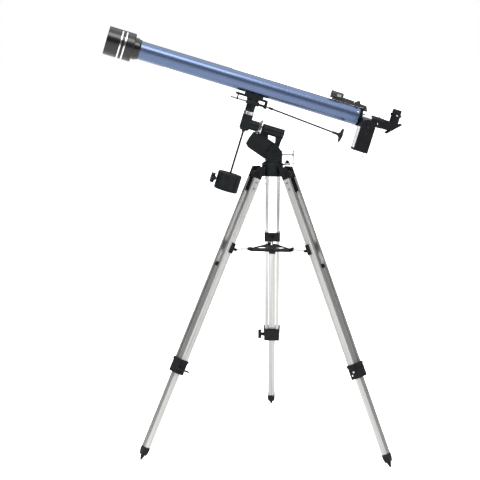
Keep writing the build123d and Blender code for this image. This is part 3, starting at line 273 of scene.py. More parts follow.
def makeEdgeGroup():
    # worn edges: where a rounded normal leaves the face's own
    group, given, out = newGroup(
        "edgeWear",
        [("Amount", "NodeSocketFloat", 0.5), ("Breakup", "NodeSocketFloat", 140.0)],
        [("Mask", "NodeSocketFloat"), ("Normal", "NodeSocketVector")],
    )
    bevel = group.nodes.new("ShaderNodeBevel")
    bevel.samples = 4
    bevel.inputs["Radius"].default_value = 0.0007
    geometry = group.nodes.new("ShaderNodeNewGeometry")
    dot = group.nodes.new("ShaderNodeVectorMath")
    dot.operation = "DOT_PRODUCT"
    group.links.new(bevel.outputs["Normal"], dot.inputs[0])
    group.links.new(geometry.outputs["Normal"], dot.inputs[1])
    edge = maths(group, "MULTIPLY", maths(group, "SUBTRACT", 1.0, dot.outputs["Value"]), 6.0, True)
    rough = noiseAt(group, objectPoint(group), given.outputs["Breakup"], 4.0, 0.65)
    broken = maths(group, "MULTIPLY", maths(group, "SUBTRACT", rough, 0.42), 6.0, True)
    worn = maths(group, "MULTIPLY", maths(group, "MULTIPLY", edge, broken), given.outputs["Amount"], True)
    group.links.new(worn, out.inputs["Mask"])
    group.links.new(bevel.outputs["Normal"], out.inputs["Normal"])
    return group


def makeDustGroup():
    # thin dust on faces that look up
    group, given, out = newGroup(
        "dustVeil",
        [("Amount", "NodeSocketFloat", 0.2), ("Scale", "NodeSocketFloat", 60.0)],
        [("Mask", "NodeSocketFloat")],
    )
    geometry = group.nodes.new("ShaderNodeNewGeometry")
    split = group.nodes.new("ShaderNodeSeparateXYZ")
    group.links.new(geometry.outputs["Normal"], split.inputs[0])
    upward = maths(group, "MULTIPLY_ADD", split.outputs["Z"], 0.5, True, 0.35)
    specks = noiseAt(group, objectPoint(group), given.outputs["Scale"], 8.0, 0.75)
    patch = maths(group, "MULTIPLY", maths(group, "SUBTRACT", specks, 0.38), 2.6, True)
    mask = maths(group, "MULTIPLY", maths(group, "MULTIPLY", upward, patch), given.outputs["Amount"], True)
    group.links.new(mask, out.inputs["Mask"])
    return group


def makeStreakGroup():
    # fine lines that run one way, as on drawn or turned metal, with broader bands the same way that mix in a
    # second colour: random tone on the steel and circles, painted shade on the tripod legs
    group, given, out = newGroup(
        "drawnLines",
        [
            ("Direction", "NodeSocketVector", (0.0, 0.0, 1.0)),
            ("Scale", "NodeSocketFloat", 900.0),
            ("Stretch", "NodeSocketFloat", 0.985),
        ],
        [("Lines", "NodeSocketFloat"), ("Bands", "NodeSocketFloat")],
    )
    spot = objectPoint(group)
    dot = group.nodes.new("ShaderNodeVectorMath")
    dot.operation = "DOT_PRODUCT"
    group.links.new(spot, dot.inputs[0])
    group.links.new(given.outputs["Direction"], dot.inputs[1])
    scaled = group.nodes.new("ShaderNodeVectorMath")
    scaled.operation = "SCALE"
    group.links.new(given.outputs["Direction"], scaled.inputs[0])
    amount = maths(group, "MULTIPLY", dot.outputs["Value"], given.outputs["Stretch"])
    group.links.new(amount, scaled.inputs["Scale"])
    squeezed = group.nodes.new("ShaderNodeVectorMath")
    squeezed.operation = "SUBTRACT"
    group.links.new(spot, squeezed.inputs[0])
    group.links.new(scaled.outputs["Vector"], squeezed.inputs[1])
    lines = noiseAt(group, squeezed.outputs["Vector"], given.outputs["Scale"], 3.0, 0.7)
    bandScale = maths(group, "MULTIPLY", given.outputs["Scale"], 0.12)
    bands = noiseAt(group, squeezed.outputs["Vector"], bandScale, 2.0)
    group.links.new(lines, out.inputs["Lines"])
    group.links.new(bands, out.inputs["Bands"])
    return group


grainGroup = makeGrainGroup()
edgeGroup = makeEdgeGroup()
dustGroup = makeDustGroup()
streakGroup = makeStreakGroup()
print("node groups ready")


# materials
def startMaterial(name):
    material = bpy.data.materials.new(name)
    material.use_nodes = True
    tree = material.node_tree
    return material, tree, tree.nodes["Principled BSDF"]


def placeGroup(tree, group, **values):
    node = tree.nodes.new("ShaderNodeGroup")
    node.node_tree = group
    for label, value in values.items():
        node.inputs[label.replace("_", " ")].default_value = value
    return node


def mixColours(tree, mask, first, second):
    node = tree.nodes.new("ShaderNodeMix")
    node.data_type = "RGBA"
    tree.links.new(mask, node.inputs["Factor"])
    for socket, value in ((node.inputs[6], first), (node.inputs[7], second)):
        if isinstance(value, tuple):
            socket.default_value = value + (1.0,)
        else:
            tree.links.new(value, socket)
    return node.outputs[2]


def spread(tree, value, low, high, fromLow=0.3, fromHigh=0.7):
    node = tree.nodes.new("ShaderNodeMapRange")
    node.inputs["From Min"].default_value = fromLow
    node.inputs["From Max"].default_value = fromHigh
    node.inputs["To Min"].default_value = low
    node.inputs["To Max"].default_value = high
    tree.links.new(value, node.inputs["Value"])
    return node.outputs["Result"]


def bumpFrom(tree, height, depth, normal=None):
    node = tree.nodes.new("ShaderNodeBump")
    node.inputs["Strength"].default_value = 1.0
    node.inputs["Distance"].default_value = depth * mm
    tree.links.new(height, node.inputs["Height"])
    if normal is not None:
        tree.links.new(normal, node.inputs["Normal"])
    return node.outputs["Normal"]


def coveredSurface(name, look):
    # paint, plastic or plating: colour, mottle, grain, worn edges and a little dust
    material, tree, shader = startMaterial(name)
    grain = placeGroup(tree, grainGroup, Scale=look["grain"], Mottle_Scale=look["mottle"])
    edge = placeGroup(tree, edgeGroup, Amount=look["wear"], Breakup=look.get("breakup", 140.0))
    dust = placeGroup(tree, dustGroup, Amount=look["dust"])
    base = mixColours(tree, spread(tree, grain.outputs["Mottle"], 0.0, 1.0), look["colour"], look["shade"])
    worn = mixColours(tree, edge.outputs["Mask"], base, look["wornColour"])
    dusty = mixColours(tree, dust.outputs["Mask"], worn, look.get("dustColour", (0.32, 0.31, 0.29)))
    tree.links.new(dusty, shader.inputs["Base Color"])
    low, high = look["roughness"]
    rough = spread(tree, grain.outputs["Mottle"], low, high)
    dustyRough = maths(tree, "MULTIPLY_ADD", dust.outputs["Mask"], 0.3, False, rough)
    tree.links.new(dustyRough, shader.inputs["Roughness"])
    shader.inputs["Metallic"].default_value = look.get("metallic", 0.0)
    shader.inputs["Coat Weight"].default_value = look.get("coat", 0.0)
    shader.inputs["Coat Roughness"].default_value = look.get("coatRoughness", 0.08)
    shader.inputs["Specular IOR Level"].default_value = look.get("specular", 0.5)
    normal = bumpFrom(tree, grain.outputs["Height"], look["grainDepth"], edge.outputs["Normal"])
    tree.links.new(normal, shader.inputs["Normal"])
    return material


def drawnMetal(name, look, direction):
    # aluminium or steel with lines along one direction; on the legs the banded second colour is painted shade
    material, tree, shader = startMaterial(name)
    lines = placeGroup(tree, streakGroup, Direction=tuple(direction), Scale=look["lines"])
    grain = placeGroup(tree, grainGroup, Scale=look["grain"], Mottle_Scale=look["mottle"])
    edge = placeGroup(tree, edgeGroup, Amount=look["wear"])
    dust = placeGroup(tree, dustGroup, Amount=look["dust"])
    base = mixColours(tree, spread(tree, lines.outputs["Bands"], 0.0, 1.0), look["colour"], look["shade"])
    tone = mixColours(tree, spread(tree, grain.outputs["Mottle"], 0.0, 0.5), base, look["stain"])
    worn = mixColours(tree, edge.outputs["Mask"], tone, look["wornColour"])
    dusty = mixColours(tree, dust.outputs["Mask"], worn, (0.42, 0.41, 0.39))
    tree.links.new(dusty, shader.inputs["Base Color"])
    low, high = look["roughness"]
    tree.links.new(spread(tree, lines.outputs["Lines"], low, high), shader.inputs["Roughness"])
    shader.inputs["Metallic"].default_value = 1.0
    normal = bumpFrom(tree, lines.outputs["Lines"], look["lineDepth"], edge.outputs["Normal"])
    tree.links.new(normal, shader.inputs["Normal"])
    return material


blueLook = {
    "colour": (0.085, 0.125, 0.225), "shade": (0.072, 0.108, 0.20), "flakes": (0.16, 0.23, 0.40),
    "flakeScale": 2600.0, "peelScale": 260.0, "peelDepth": 0.02, "roughness": (0.24, 0.32),
}


def bluePaint():
    # metallic lacquer: flakes under a clear coat, with faint orange peel
    material, tree, shader = startMaterial("tubeLacquer")
    spot = objectPoint(tree)
    flakes = tree.nodes.new("ShaderNodeTexVoronoi")
    flakes.inputs["Scale"].default_value = blueLook["flakeScale"]
    tree.links.new(spot, flakes.inputs["Vector"])
    split = tree.nodes.new("ShaderNodeSeparateColor")
    tree.links.new(flakes.outputs["Color"], split.inputs["Color"])
    grain = placeGroup(tree, grainGroup, Scale=blueLook["peelScale"], Mottle_Scale=5.0)
    dust = placeGroup(tree, dustGroup, Amount=0.10, Scale=35.0)
    mottle = spread(tree, grain.outputs["Mottle"], 0.0, 1.0)
    base = mixColours(tree, mottle, blueLook["colour"], blueLook["shade"])
    brightFlakes = spread(tree, split.outputs["Red"], 0.0, 0.45, 0.55, 1.0)
    sparkle = mixColours(tree, brightFlakes, base, blueLook["flakes"])
    dusty = mixColours(tree, dust.outputs["Mask"], sparkle, (0.45, 0.50, 0.58))
    tree.links.new(dusty, shader.inputs["Base Color"])
    low, high = blueLook["roughness"]
    tree.links.new(spread(tree, grain.outputs["Mottle"], low, high), shader.inputs["Roughness"])
    shader.inputs["Metallic"].default_value = 0.72
    shader.inputs["Coat Weight"].default_value = 0.35
    shader.inputs["Coat Roughness"].default_value = 0.06
    normal = bumpFrom(tree, grain.outputs["Height"], blueLook["peelDepth"])
    tree.links.new(normal, shader.inputs["Normal"])
    return material


def coatedGlass(name, colour, roughness):
    # lens glass with a faint coating tint and a few specks
    material, tree, shader = startMaterial(name)
    grain = placeGroup(tree, grainGroup, Scale=300.0, Mottle_Scale=40.0)
    tint = mixColours(tree, spread(tree, grain.outputs["Mottle"], 0.0, 1.0), colour, (0.62, 0.80, 0.95))
    tree.links.new(tint, shader.inputs["Base Color"])
    rough = spread(tree, grain.outputs["Mottle"], roughness, roughness + 0.04)
    tree.links.new(rough, shader.inputs["Roughness"])
    shader.inputs["Transmission Weight"].default_value = 1.0
    shader.inputs["IOR"].default_value = 1.5
    shader.inputs["Coat Weight"].default_value = 1.0
    shader.inputs["Coat Tint"].default_value = (0.55, 0.75, 1.0, 1.0)
    return material


def silvered(name):
    material, tree, shader = startMaterial(name)
    grain = placeGroup(tree, grainGroup, Scale=500.0, Mottle_Scale=30.0)
    mottle = spread(tree, grain.outputs["Mottle"], 0.0, 1.0)
    tone = mixColours(tree, mottle, (0.92, 0.93, 0.94), (0.84, 0.86, 0.89))
    tree.links.new(tone, shader.inputs["Base Color"])
    tree.links.new(spread(tree, grain.outputs["Mottle"], 0.02, 0.06), shader.inputs["Roughness"])
    shader.inputs["Metallic"].default_value = 1.0
    return material


glossBlackLook = {
    "colour": (0.004, 0.004, 0.005), "shade": (0.007, 0.007, 0.008), "wornColour": (0.06, 0.06, 0.06),
    "grain": 700.0, "mottle": 14.0, "grainDepth": 0.01, "wear": 0.25, "dust": 0.02,
    "roughness": (0.20, 0.30), "coat": 0.2, "specular": 0.4,
}
castBlackLook = {
    "colour": (0.004, 0.006, 0.007), "shade": (0.008, 0.010, 0.011), "wornColour": (0.10, 0.11, 0.11),
    "grain": 1300.0, "mottle": 30.0, "grainDepth": 0.05, "wear": 0.5, "dust": 0.03,
    "roughness": (0.34, 0.46), "specular": 0.14,
}
mouldBlackLook = {
    "colour": (0.004, 0.004, 0.006), "shade": (0.008, 0.008, 0.010), "wornColour": (0.07, 0.07, 0.075),
    "grain": 1700.0, "mottle": 24.0, "grainDepth": 0.04, "wear": 0.35, "dust": 0.025,
    "roughness": (0.40, 0.52), "specular": 0.14,
}
finderLook = {
    "colour": (0.018, 0.019, 0.016), "shade": (0.032, 0.032, 0.028), "wornColour": (0.18, 0.18, 0.16),
    "grain": 1500.0, "mottle": 30.0, "grainDepth": 0.04, "wear": 0.6, "dust": 0.05,
    "roughness": (0.28, 0.42), "specular": 0.4,
}
footLook = {
    "colour": (0.008, 0.008, 0.008), "shade": (0.015, 0.014, 0.013), "wornColour": (0.06, 0.055, 0.05),
    "grain": 900.0, "mottle": 40.0, "grainDepth": 0.10, "wear": 0.7, "dust": 0.10,
    "roughness": (0.55, 0.75), "specular": 0.14,
}
chromeLook = {
    "colour": (0.80, 0.81, 0.82), "shade": (0.70, 0.71, 0.73), "wornColour": (0.55, 0.53, 0.50),
    "grain": 900.0, "mottle": 40.0, "grainDepth": 0.006, "wear": 0.15, "dust": 0.03,
    "roughness": (0.06, 0.14), "metallic": 1.0,
}
# leg aluminium: the dark second colour, laid in lengthwise bands, is painted shade standing in for the shaded
# side faces and groove of the rails
legLookWithPaintedShade = {
    "colour": (0.62, 0.615, 0.60), "shade": (0.37, 0.365, 0.355), "stain": (0.50, 0.49, 0.475),
    "wornColour": (0.75, 0.74, 0.72), "lines": 1200.0, "grain": 900.0, "mottle": 12.0,
    "wear": 0.4, "dust": 0.05, "roughness": (0.40, 0.52), "lineDepth": 0.03,
}
steelLook = {
    "colour": (0.28, 0.28, 0.29), "shade": (0.20, 0.20, 0.21), "stain": (0.16, 0.155, 0.15),
    "wornColour": (0.60, 0.60, 0.60), "lines": 1500.0, "grain": 900.0, "mottle": 40.0,
    "wear": 0.4, "dust": 0.05, "roughness": (0.25, 0.40), "lineDepth": 0.01,
}
circleLook = dict(legLookWithPaintedShade, colour=(0.72, 0.72, 0.72), shade=(0.62, 0.62, 0.63), roughness=(0.22, 0.34))
rodLook = dict(castBlackLook, colour=(0.013, 0.013, 0.014), shade=(0.02, 0.02, 0.02), roughness=(0.25, 0.35))

# pale white colour for the washer, and for the painted reflection on the side of the focus drive
washerAndPaintedReflectionLook = {
    "colour": (0.82, 0.82, 0.84), "shade": (0.74, 0.74, 0.77), "wornColour": (0.60, 0.60, 0.60),
    "grain": 900.0, "mottle": 30.0, "grainDepth": 0.01, "wear": 0.3, "dust": 0.03, "roughness": (0.25, 0.35),
}
windowLook = {
    "colour": (0.20, 0.23, 0.20), "shade": (0.34, 0.38, 0.34), "wornColour": (0.40, 0.42, 0.40),
    "grain": 500.0, "mottle": 160.0, "grainDepth": 0.01, "wear": 0.2, "dust": 0.03, "roughness": (0.08, 0.18),
    "coat": 1.0,
}

finishes = {
    "whitePlate": coveredSurface("whitePlate", washerAndPaintedReflectionLook),
    "sightWindow": coveredSurface("sightWindow", windowLook),
    "tubeLacquer": bluePaint(),
    "glossBlack": coveredSurface("glossBlack", glossBlackLook),
    "castBlack": coveredSurface("castBlack", castBlackLook),
    "mouldBlack": coveredSurface("mouldBlack", mouldBlackLook),
    "finderBlack": coveredSurface("finderBlack", finderLook),
    "footBlack": coveredSurface("footBlack", footLook),
    "rodBlack": coveredSurface("rodBlack", rodLook),
    "chrome": coveredSurface("chromePlate", chromeLook),
    "tubeSteel": drawnMetal("turnedSteel", steelLook, rise),
    "circleSilver": drawnMetal("circleSilver", circleLook, along),
    "lens": coatedGlass("lensGlass", (0.80, 0.90, 1.0), 0.0),
    "mirror": silvered("mirrorSilver"),
}
# each leg's material carries the painted shade bands along its own length
for leg in legs:
    finishes[leg.name + "Leg"] = drawnMetal(leg.name + "LegAluminium", legLookWithPaintedShade, leg.down)
print("materials ready:", len(finishes))

# finish of each CAD node
nodeFinish = {
    "telescope_tube": "tubeLacquer",
    "dew_shield": "glossBlack", "objective_cell": "glossBlack", "objective_lens": "lens",
    "focuser_body": "mouldBlack", "focus_drawtube": "chrome", "drawtube_collar": "mouldBlack",
    "focus_pinion": "mouldBlack", "focus_drive_case": "mouldBlack", "focus_drive_cover": "mouldBlack",
    "focus_switch": "tubeSteel", "star_diagonal": "mouldBlack", "diagonal_cover": "mouldBlack",
    "diagonal_mirror": "mirror", "eyepiece": "mouldBlack",
    "finder_body": "finderBlack", "finder_knob": "finderBlack",
    "saddle": "castBlack", "worm_shaft": "tubeSteel", "slow_motion_control": "rodBlack",
    "dec_shaft": "tubeSteel", "dec_circle": "circleSilver", "dec_housing": "castBlack",
    "polar_shaft": "tubeSteel", "polar_circle": "circleSilver", "polar_head": "castBlack",
    "pivot_bolt": "castBlack", "latitude_bolt": "tubeSteel", "azimuth_base": "castBlack",
    "counterweight_rod": "rodBlack", "counterweight": "castBlack", "weight_knob": "mouldBlack",
    "tripod_hub": "castBlack", "azimuth_lock": "mouldBlack", "leg_hinge_bolts": "mouldBlack",
    "accessory_tray": "mouldBlack",
}
for leg in legs:
    nodeFinish[leg.name + "_leg_rails"] = leg.name + "Leg"
    nodeFinish[leg.name + "_leg_slider"] = leg.name + "Leg"
    nodeFinish[leg.name + "_strut"] = "circleSilver"
    nodeFinish[leg.name + "_strut_bracket"] = "mouldBlack"
    nodeFinish[leg.name + "_leg_bracket"] = "mouldBlack"
    nodeFinish[leg.name + "_leg_clamp"] = "mouldBlack"
    nodeFinish[leg.name + "_clamp_screw"] = "mouldBlack"
    nodeFinish[leg.name + "_foot"] = "footBlack"
for node, obj in frame["nodes"].items():
    obj.data.materials.clear()
    obj.data.materials.append(finishes[nodeFinish[node]])
    smooth(obj)
print("CAD nodes finished")

# dew shield bands and lens ring
bandValues = {"width": 4.6, "proud": 0.25, "sunk": 0.3, "edge": 0.1, "span": 91.5, "places": (0.505, 0.663)}
shadeFront = reach("dew_shield", along, tubeOrigin)[0]
shadeRadius = reach("dew_shield", side, tubeOrigin)[1]


def dewShieldBands():
    # places are shares of the span, from the front of the shield
    inner = shadeRadius - bandValues["sunk"]
    outer = shadeRadius + bandValues["proud"]
    edge = bandValues["edge"]
    for index, place in enumerate(bandValues["places"]):
        start = shadeFront + place * bandValues["span"] - bandValues["width"] / 2
        end = start + bandValues["width"]
        outline = [(start, inner), (start, outer - edge), (start + edge, outer), (end - edge, outer),
                   (end, outer - edge), (end, inner)]
        work = bmesh.new()
        addLathe(work, outline, 128)
        newPiece(f"dew_shield_band_{index + 1}", work, turnedFrame(tubeOrigin, along), finishes["chrome"],
                 "dew_shield")


ringValues = {"outer": 29.8, "inner": 27.6, "lip": 27.0, "back": 1.2, "lipFront": 1.0, "front": 1.6}


def lensRing():
    # ring that holds the lens, with a bevelled front lip
    lensFront = reach("objective_lens", along, tubeOrigin)[0]
    outer, inner = ringValues["outer"], ringValues["inner"]
    front = lensFront - ringValues["front"]
    back = lensFront + ringValues["back"]
    outline = [(front, outer), (back, outer), (back, inner),
               (lensFront - ringValues["lipFront"], ringValues["lip"]), (front, inner)]
    work = bmesh.new()
    addLathe(work, outline, 96)
    newPiece("lens_ring", work, turnedFrame(tubeOrigin, along), finishes["glossBlack"], "tube")


dewShieldBands()
lensRing()
print("objective end done")

# screws and caps of the legs
legTrim = {
    "railBolts": (29.0, 51.0), "boltRadius": 3.6, "boltHeight": 1.8, "railHalf": 25.0,
    "clampRadius": 3.4, "clampHeight": 2.2, "clampDown": 26.0, "clampStep": 10.0, "clampOut": 4.0,
    "clampFace": -28.0,
}


def legScrews(leg):
    body = leg.name + "_leg"
    for index, down in enumerate(legTrim["railBolts"]):
        for way, label in ((1, "a"), (-1, "b")):
            spot = leg.spot(down, 0.0, way * legTrim["railHalf"])
            screwHead(f"{leg.name}_rail_bolt_{index + 1}_{label}", spot, leg.across * way,
                      legTrim["boltRadius"], legTrim["boltHeight"], finishes["tubeSteel"], body)
    start = reach(leg.name + "_leg_clamp", leg.down, leg.hinge)[0] + legTrim["clampDown"]
    for index, way in enumerate((1, -1)):
        down = start + index * legTrim["clampStep"]
        spot = leg.spot(down, way * legTrim["clampOut"], legTrim["clampFace"])
        screwHead(f"{leg.name}_clamp_bolt_{index + 1}", spot, -leg.across, legTrim["clampRadius"],
                  legTrim["clampHeight"], finishes["chrome"], body)


capValues = {"width": 20.4, "depth": 24.4, "length": 14.0, "bevel": 1.2}


def sliderCap(leg):
    # moulded plug in the top of the lower leg
    top = reach(leg.name + "_leg_slider", leg.down, leg.hinge)[0]
    work = bmesh.new()
    outline = boxOutline(capValues["width"], capValues["depth"])
    addPrism(work, outline, -capValues["length"], 0.0, capValues["bevel"])
    matrix = Matrix((leg.out, leg.across, leg.down)).transposed().to_4x4()
    matrix.translation = leg.spot(top)
    newPiece(leg.name + "_slider_cap", work, matrix, finishes["mouldBlack"], leg.name + "_lower_leg")


for leg in legs:
    legScrews(leg)
    sliderCap(leg)
print("leg trim done")

# focuser, diagonal and finder trim
# the last five values place the white sheet that paints the reflection on the drive's side face
driveTrim = {
    "station": 388.0, "drop": -22.8, "face": -79.1, "screwDrops": (0.0, -22.0), "screwRadii": (3.6, 2.6),
    "screwHeight": 1.6, "paintedReflectionHalf": 24.5, "paintedReflectionDrops": (-78.0, -6.0), "paintedReflectionSides": (-74.0, -26.0),
    "paintedReflectionThickness": 0.5, "paintedReflectionBevel": 0.15,
}


def driveScrews():
    # two screws in the cover's pockets
    for index, (drop, radius) in enumerate(zip(driveTrim["screwDrops"], driveTrim["screwRadii"])):
        spot = onTube(driveTrim["station"], driveTrim["drop"] + drop, driveTrim["face"])
        screwHead(f"drive_screw_{index + 1}", spot, -side, radius, driveTrim["screwHeight"],
                  finishes["glossBlack"], "tube")


def drivePaintedReflection():
    # white sheet on the side of the drive that faces the tube: a painted reflection, standing in for the
    # light that this side face reflects
    low, high = driveTrim["paintedReflectionSides"]
    bottom, top = driveTrim["paintedReflectionDrops"]
    work = bmesh.new()
    outline = boxOutline(high - low, top - bottom)
    addPrism(work, outline, 0.0, driveTrim["paintedReflectionThickness"], driveTrim["paintedReflectionBevel"])
    matrix = Matrix((side, rise, -along)).transposed().to_4x4()
    matrix.translation = onTube(driveTrim["station"] - driveTrim["paintedReflectionHalf"],
                                driveTrim["drop"] + (bottom + top) / 2, (low + high) / 2)
    newPiece("drive_side_plate", work, matrix, finishes["whitePlate"], "tube")


tubeScrewValues = {"station": 351.0, "radius": 2.6, "height": 1.3, "turns": (30.0, 150.0, 270.0)}


def tubeScrews():
    tubeEdge = reach("telescope_tube", side, tubeOrigin)[1]
    for index, degrees in enumerate(tubeScrewValues["turns"]):
        turn = math.radians(degrees)
        outward = rise * math.sin(turn) - side * math.cos(turn)
        spot = onTube(tubeScrewValues["station"]) + outward * tubeEdge * mm
        screwHead(f"tube_screw_{index + 1}", spot, outward, tubeScrewValues["radius"],
                  tubeScrewValues["height"], finishes["chrome"], "tube")


# stations of the collar's screws and of the eyepiece's axis
stations = {"collarPin": 432.0, "collarSide": 428.0, "eyepiece": 484.0}
collarPin = {"shank": 1.1, "grip": 1.5, "start": 3.0, "gripLength": 5.0, "length": 9.0, "sunk": 1.0}
collarSideScrew = {"radius": 2.6, "height": 1.4, "up": -4.0, "sunk": 0.4}
holderSideScrew = {"radius": 2.8, "height": 1.4, "sunk": 0.1}
holderThumb = {
    "shank": 2.4, "grip": 4.4, "start": 0.5, "gripLength": 2.6, "length": 3.5, "out": 16.0, "up": 41.5,
}


def collarScrews():
    top = reach("drawtube_collar", rise, tubeOrigin)[1] - collarPin["sunk"]
    thumbScrew("collar_pin_screw", onTube(stations["collarPin"], top), rise, collarPin,
               finishes["tubeSteel"], "drawtube")
    face = reach("drawtube_collar", side, tubeOrigin)[0] + collarSideScrew["sunk"]
    spot = onTube(stations["collarSide"], collarSideScrew["up"], face)
    screwHead("collar_side_screw", spot, -side, collarSideScrew["radius"], collarSideScrew["height"],
              finishes["chrome"], "drawtube")


def holderScrews():
    face = reach("star_diagonal", side, tubeOrigin)[0] + holderSideScrew["sunk"]
    spot = onTube(stations["eyepiece"], holderThumb["up"], face)
    screwHead("holder_side_screw", spot, -side, holderSideScrew["radius"], holderSideScrew["height"],
              finishes["chrome"], "diagonal")
    for index, way in enumerate((-1, 1)):
        spot = onTube(stations["eyepiece"] + way * holderThumb["out"], holderThumb["up"])
        thumbScrew(f"holder_thumb_screw_{index + 1}", spot, along * way, holderThumb, finishes["mouldBlack"],
                   "diagonal")


gripValues = {"bottom": 50.0, "top": 54.5, "inner": 15.2, "outer": 16.0, "ribs": 48, "ribDepth": 0.012}
eyeLens = {"bottom": 59.0, "edge": 59.6, "shoulder": 60.2, "top": 60.5, "radius": 7.2, "shoulderShare": 0.6}


def eyepieceGrip():
    bottom, top = gripValues["bottom"], gripValues["top"]
    inner, outer = gripValues["inner"], gripValues["outer"]

    def ribs(turn, z, radius):
        if radius <= inner:
            return 1.0
        return 1.0 + gripValues["ribDepth"] * math.cos(gripValues["ribs"] * turn)

    work = bmesh.new()
    addLathe(work, [(bottom, inner), (bottom, outer), (top, outer), (top, inner)], 192, ripple=ribs)
    newPiece("eyepiece_grip", work, turnedFrame(onTube(stations["eyepiece"]), rise), finishes["footBlack"],
             "eyepiece")


def eyepieceLens():
    radius = eyeLens["radius"]
    outline = [(eyeLens["bottom"], 0.0), (eyeLens["bottom"], radius), (eyeLens["edge"], radius),
               (eyeLens["shoulder"], radius * eyeLens["shoulderShare"]), (eyeLens["top"], 0.0)]
    work = bmesh.new()
    addLathe(work, outline, 48)
    newPiece("eyepiece_lens", work, turnedFrame(onTube(stations["eyepiece"]), rise), finishes["lens"],
             "eyepiece")


finderValues = {
    "axis": 48.0, "windows": {"front": 249.6, "back": 289.0}, "radius": 10.4, "thickness": 0.9,
    "sideStation": 275.0, "sideUp": 49.0, "sideFace": -11.6, "sideSize": (14.0, 8.0), "sideThickness": 1.0,
    "sideBevel": 0.8, "screwPlace": (332.0, 43.0, -7.5), "screwRadius": 2.4, "screwHeight": 1.2,
}


def finderTrim():
    # two round windows, a window in the side and a screw
    radius, thickness = finderValues["radius"], finderValues["thickness"]
    for label, station in finderValues["windows"].items():
        work = bmesh.new()
        addLathe(work, [(0.0, 0.0), (0.0, radius), (thickness, radius), (thickness, 0.0)], 64)
        frameThere = turnedFrame(onTube(station, finderValues["axis"]), along)
        newPiece("finder_window_" + label, work, frameThere, finishes["lens"], "tube")
    work = bmesh.new()
    outline = boxOutline(*finderValues["sideSize"])
    addPrism(work, outline, 0.0, finderValues["sideThickness"], finderValues["sideBevel"])
    matrix = Matrix((along, rise, -side)).transposed().to_4x4()
    matrix.translation = onTube(finderValues["sideStation"], finderValues["sideUp"], finderValues["sideFace"])
    newPiece("finder_side_window", work, matrix, finishes["sightWindow"], "tube")
    screwHead("finder_screw", onTube(*finderValues["screwPlace"]), -side, finderValues["screwRadius"],
              finderValues["screwHeight"], finishes["chrome"], "tube")


driveScrews()
drivePaintedReflection()
tubeScrews()
collarScrews()
holderScrews()
eyepieceGrip()
eyepieceLens()
finderTrim()
print("focuser trim done")

# mount trim
washerValues = {
    "radius": 11.4, "inner": 9.8, "foot": 10.9, "crown": 10.6, "rimHeight": 0.2, "crownHeight": 0.6,
    "skirtHalf": 0.1, "skirtDrop": 2.3, "down": 10.7,
}


def lockWasher():
    # bright washer with a thin skirt, under the azimuth lock's wing
    place = placeOf("azimuth_lock_turn")
    place.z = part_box("azimuth_lock")[1].z - washerValues["down"] * mm
    radius, inner, half = washerValues["radius"], washerValues["inner"], washerValues["skirtHalf"]
    drop, crown = -washerValues["skirtDrop"], washerValues["crownHeight"]
    skirt = [(0, radius - half), (0, radius + half), (drop, radius + half), (drop, radius - half)]
    disc = [(0, washerValues["foot"]), (washerValues["rimHeight"], radius), (crown, washerValues["crown"]),
            (crown, inner), (0, inner)]
    work = bmesh.new()
    addLathe(work, skirt, 64)
    addLathe(work, disc, 64)
    newPiece("lock_washer", work, turnedFrame(place, Vector((0, 0, 1))), finishes["whitePlate"],
             "azimuth_lock")


tickValues = {"count": 72, "longEvery": 6, "shortShare": 0.6, "width": 0.35, "depth": 0.12}


def circleTicks(name, origin, axis, radius, start, length, body):
    # engraved division lines, filled black
    count = tickValues["count"]
    work = bmesh.new()
    for k in range(count):
        long = length if k % tickValues["longEvery"] == 0 else length * tickValues["shortShare"]
        size = (tickValues["depth"] * mm, tickValues["width"] * mm, long * mm)
        turn = Matrix.Rotation(2 * math.pi * k / count, 3, "Z")
        box = bmesh.ops.create_cube(work, size=1.0)["verts"]
        bmesh.ops.scale(work, vec=size, verts=box)
        bmesh.ops.translate(work, vec=(radius * mm, 0, (start + long / 2) * mm), verts=box)
        bmesh.ops.rotate(work, cent=(0, 0, 0), matrix=turn, verts=box)
    newPiece(name, work, turnedFrame(origin, axis), finishes["mouldBlack"], body)


decMarks = {"tickStart": 3.4, "tickLength": 3.6, "line": (2.6, 3.2), "sunk": 0.2, "proud": 0.08}
polarMarks = {"tickStart": -2.6, "tickLength": 2.4}


def decCircleMarks():
    edge = reach("dec_circle", side, decOrigin)[1]
    low = reach("dec_circle", rise, decOrigin)[0]
    circleTicks("dec_circle_ticks", decOrigin, rise, edge, low + decMarks["tickStart"],
                decMarks["tickLength"], "dec_circle")
    start, end = (low + height for height in decMarks["line"])
    inner, outer = edge - decMarks["sunk"], edge + decMarks["proud"]
    work = bmesh.new()
    addLathe(work, [(start, inner), (start, outer), (end, outer), (end, inner)], 96)
    newPiece("dec_circle_line", work, turnedFrame(decOrigin, rise), finishes["mouldBlack"], "dec_circle")


def polarCircleMarks():
    origin = placeOf("polar_turn")
    edge = reach("polar_circle", side, origin)[1]
    high = reach("polar_circle", along, origin)[1]
    circleTicks("polar_circle_ticks", origin, along, edge, high + polarMarks["tickStart"],
                polarMarks["tickLength"], "polar_circle")


knobValues = {
    "shank": 3.0, "grip": 8.0, "start": 6.0, "gripLength": 9.0, "length": 16.5, "along": -30.0, "side": -16.0,
}


def polarLock():
    # knob that clamps the polar axis, on the upper front of the head
    spot = placeOf("polar_turn") + (along * knobValues["along"] + side * knobValues["side"]) * mm
    thumbScrew("polar_lock_knob", spot, -side, knobValues, finishes["mouldBlack"], "polar_head")


lockWasher()
decCircleMarks()
polarCircleMarks()
polarLock()
print("mount trim done")

# tray trim
trayValues = {
    "shank": 2.0, "grip": 6.5, "start": 1.0, "gripLength": 5.0, "length": 8.0,
    "out": 0.0814, "across": 0.0052,
}


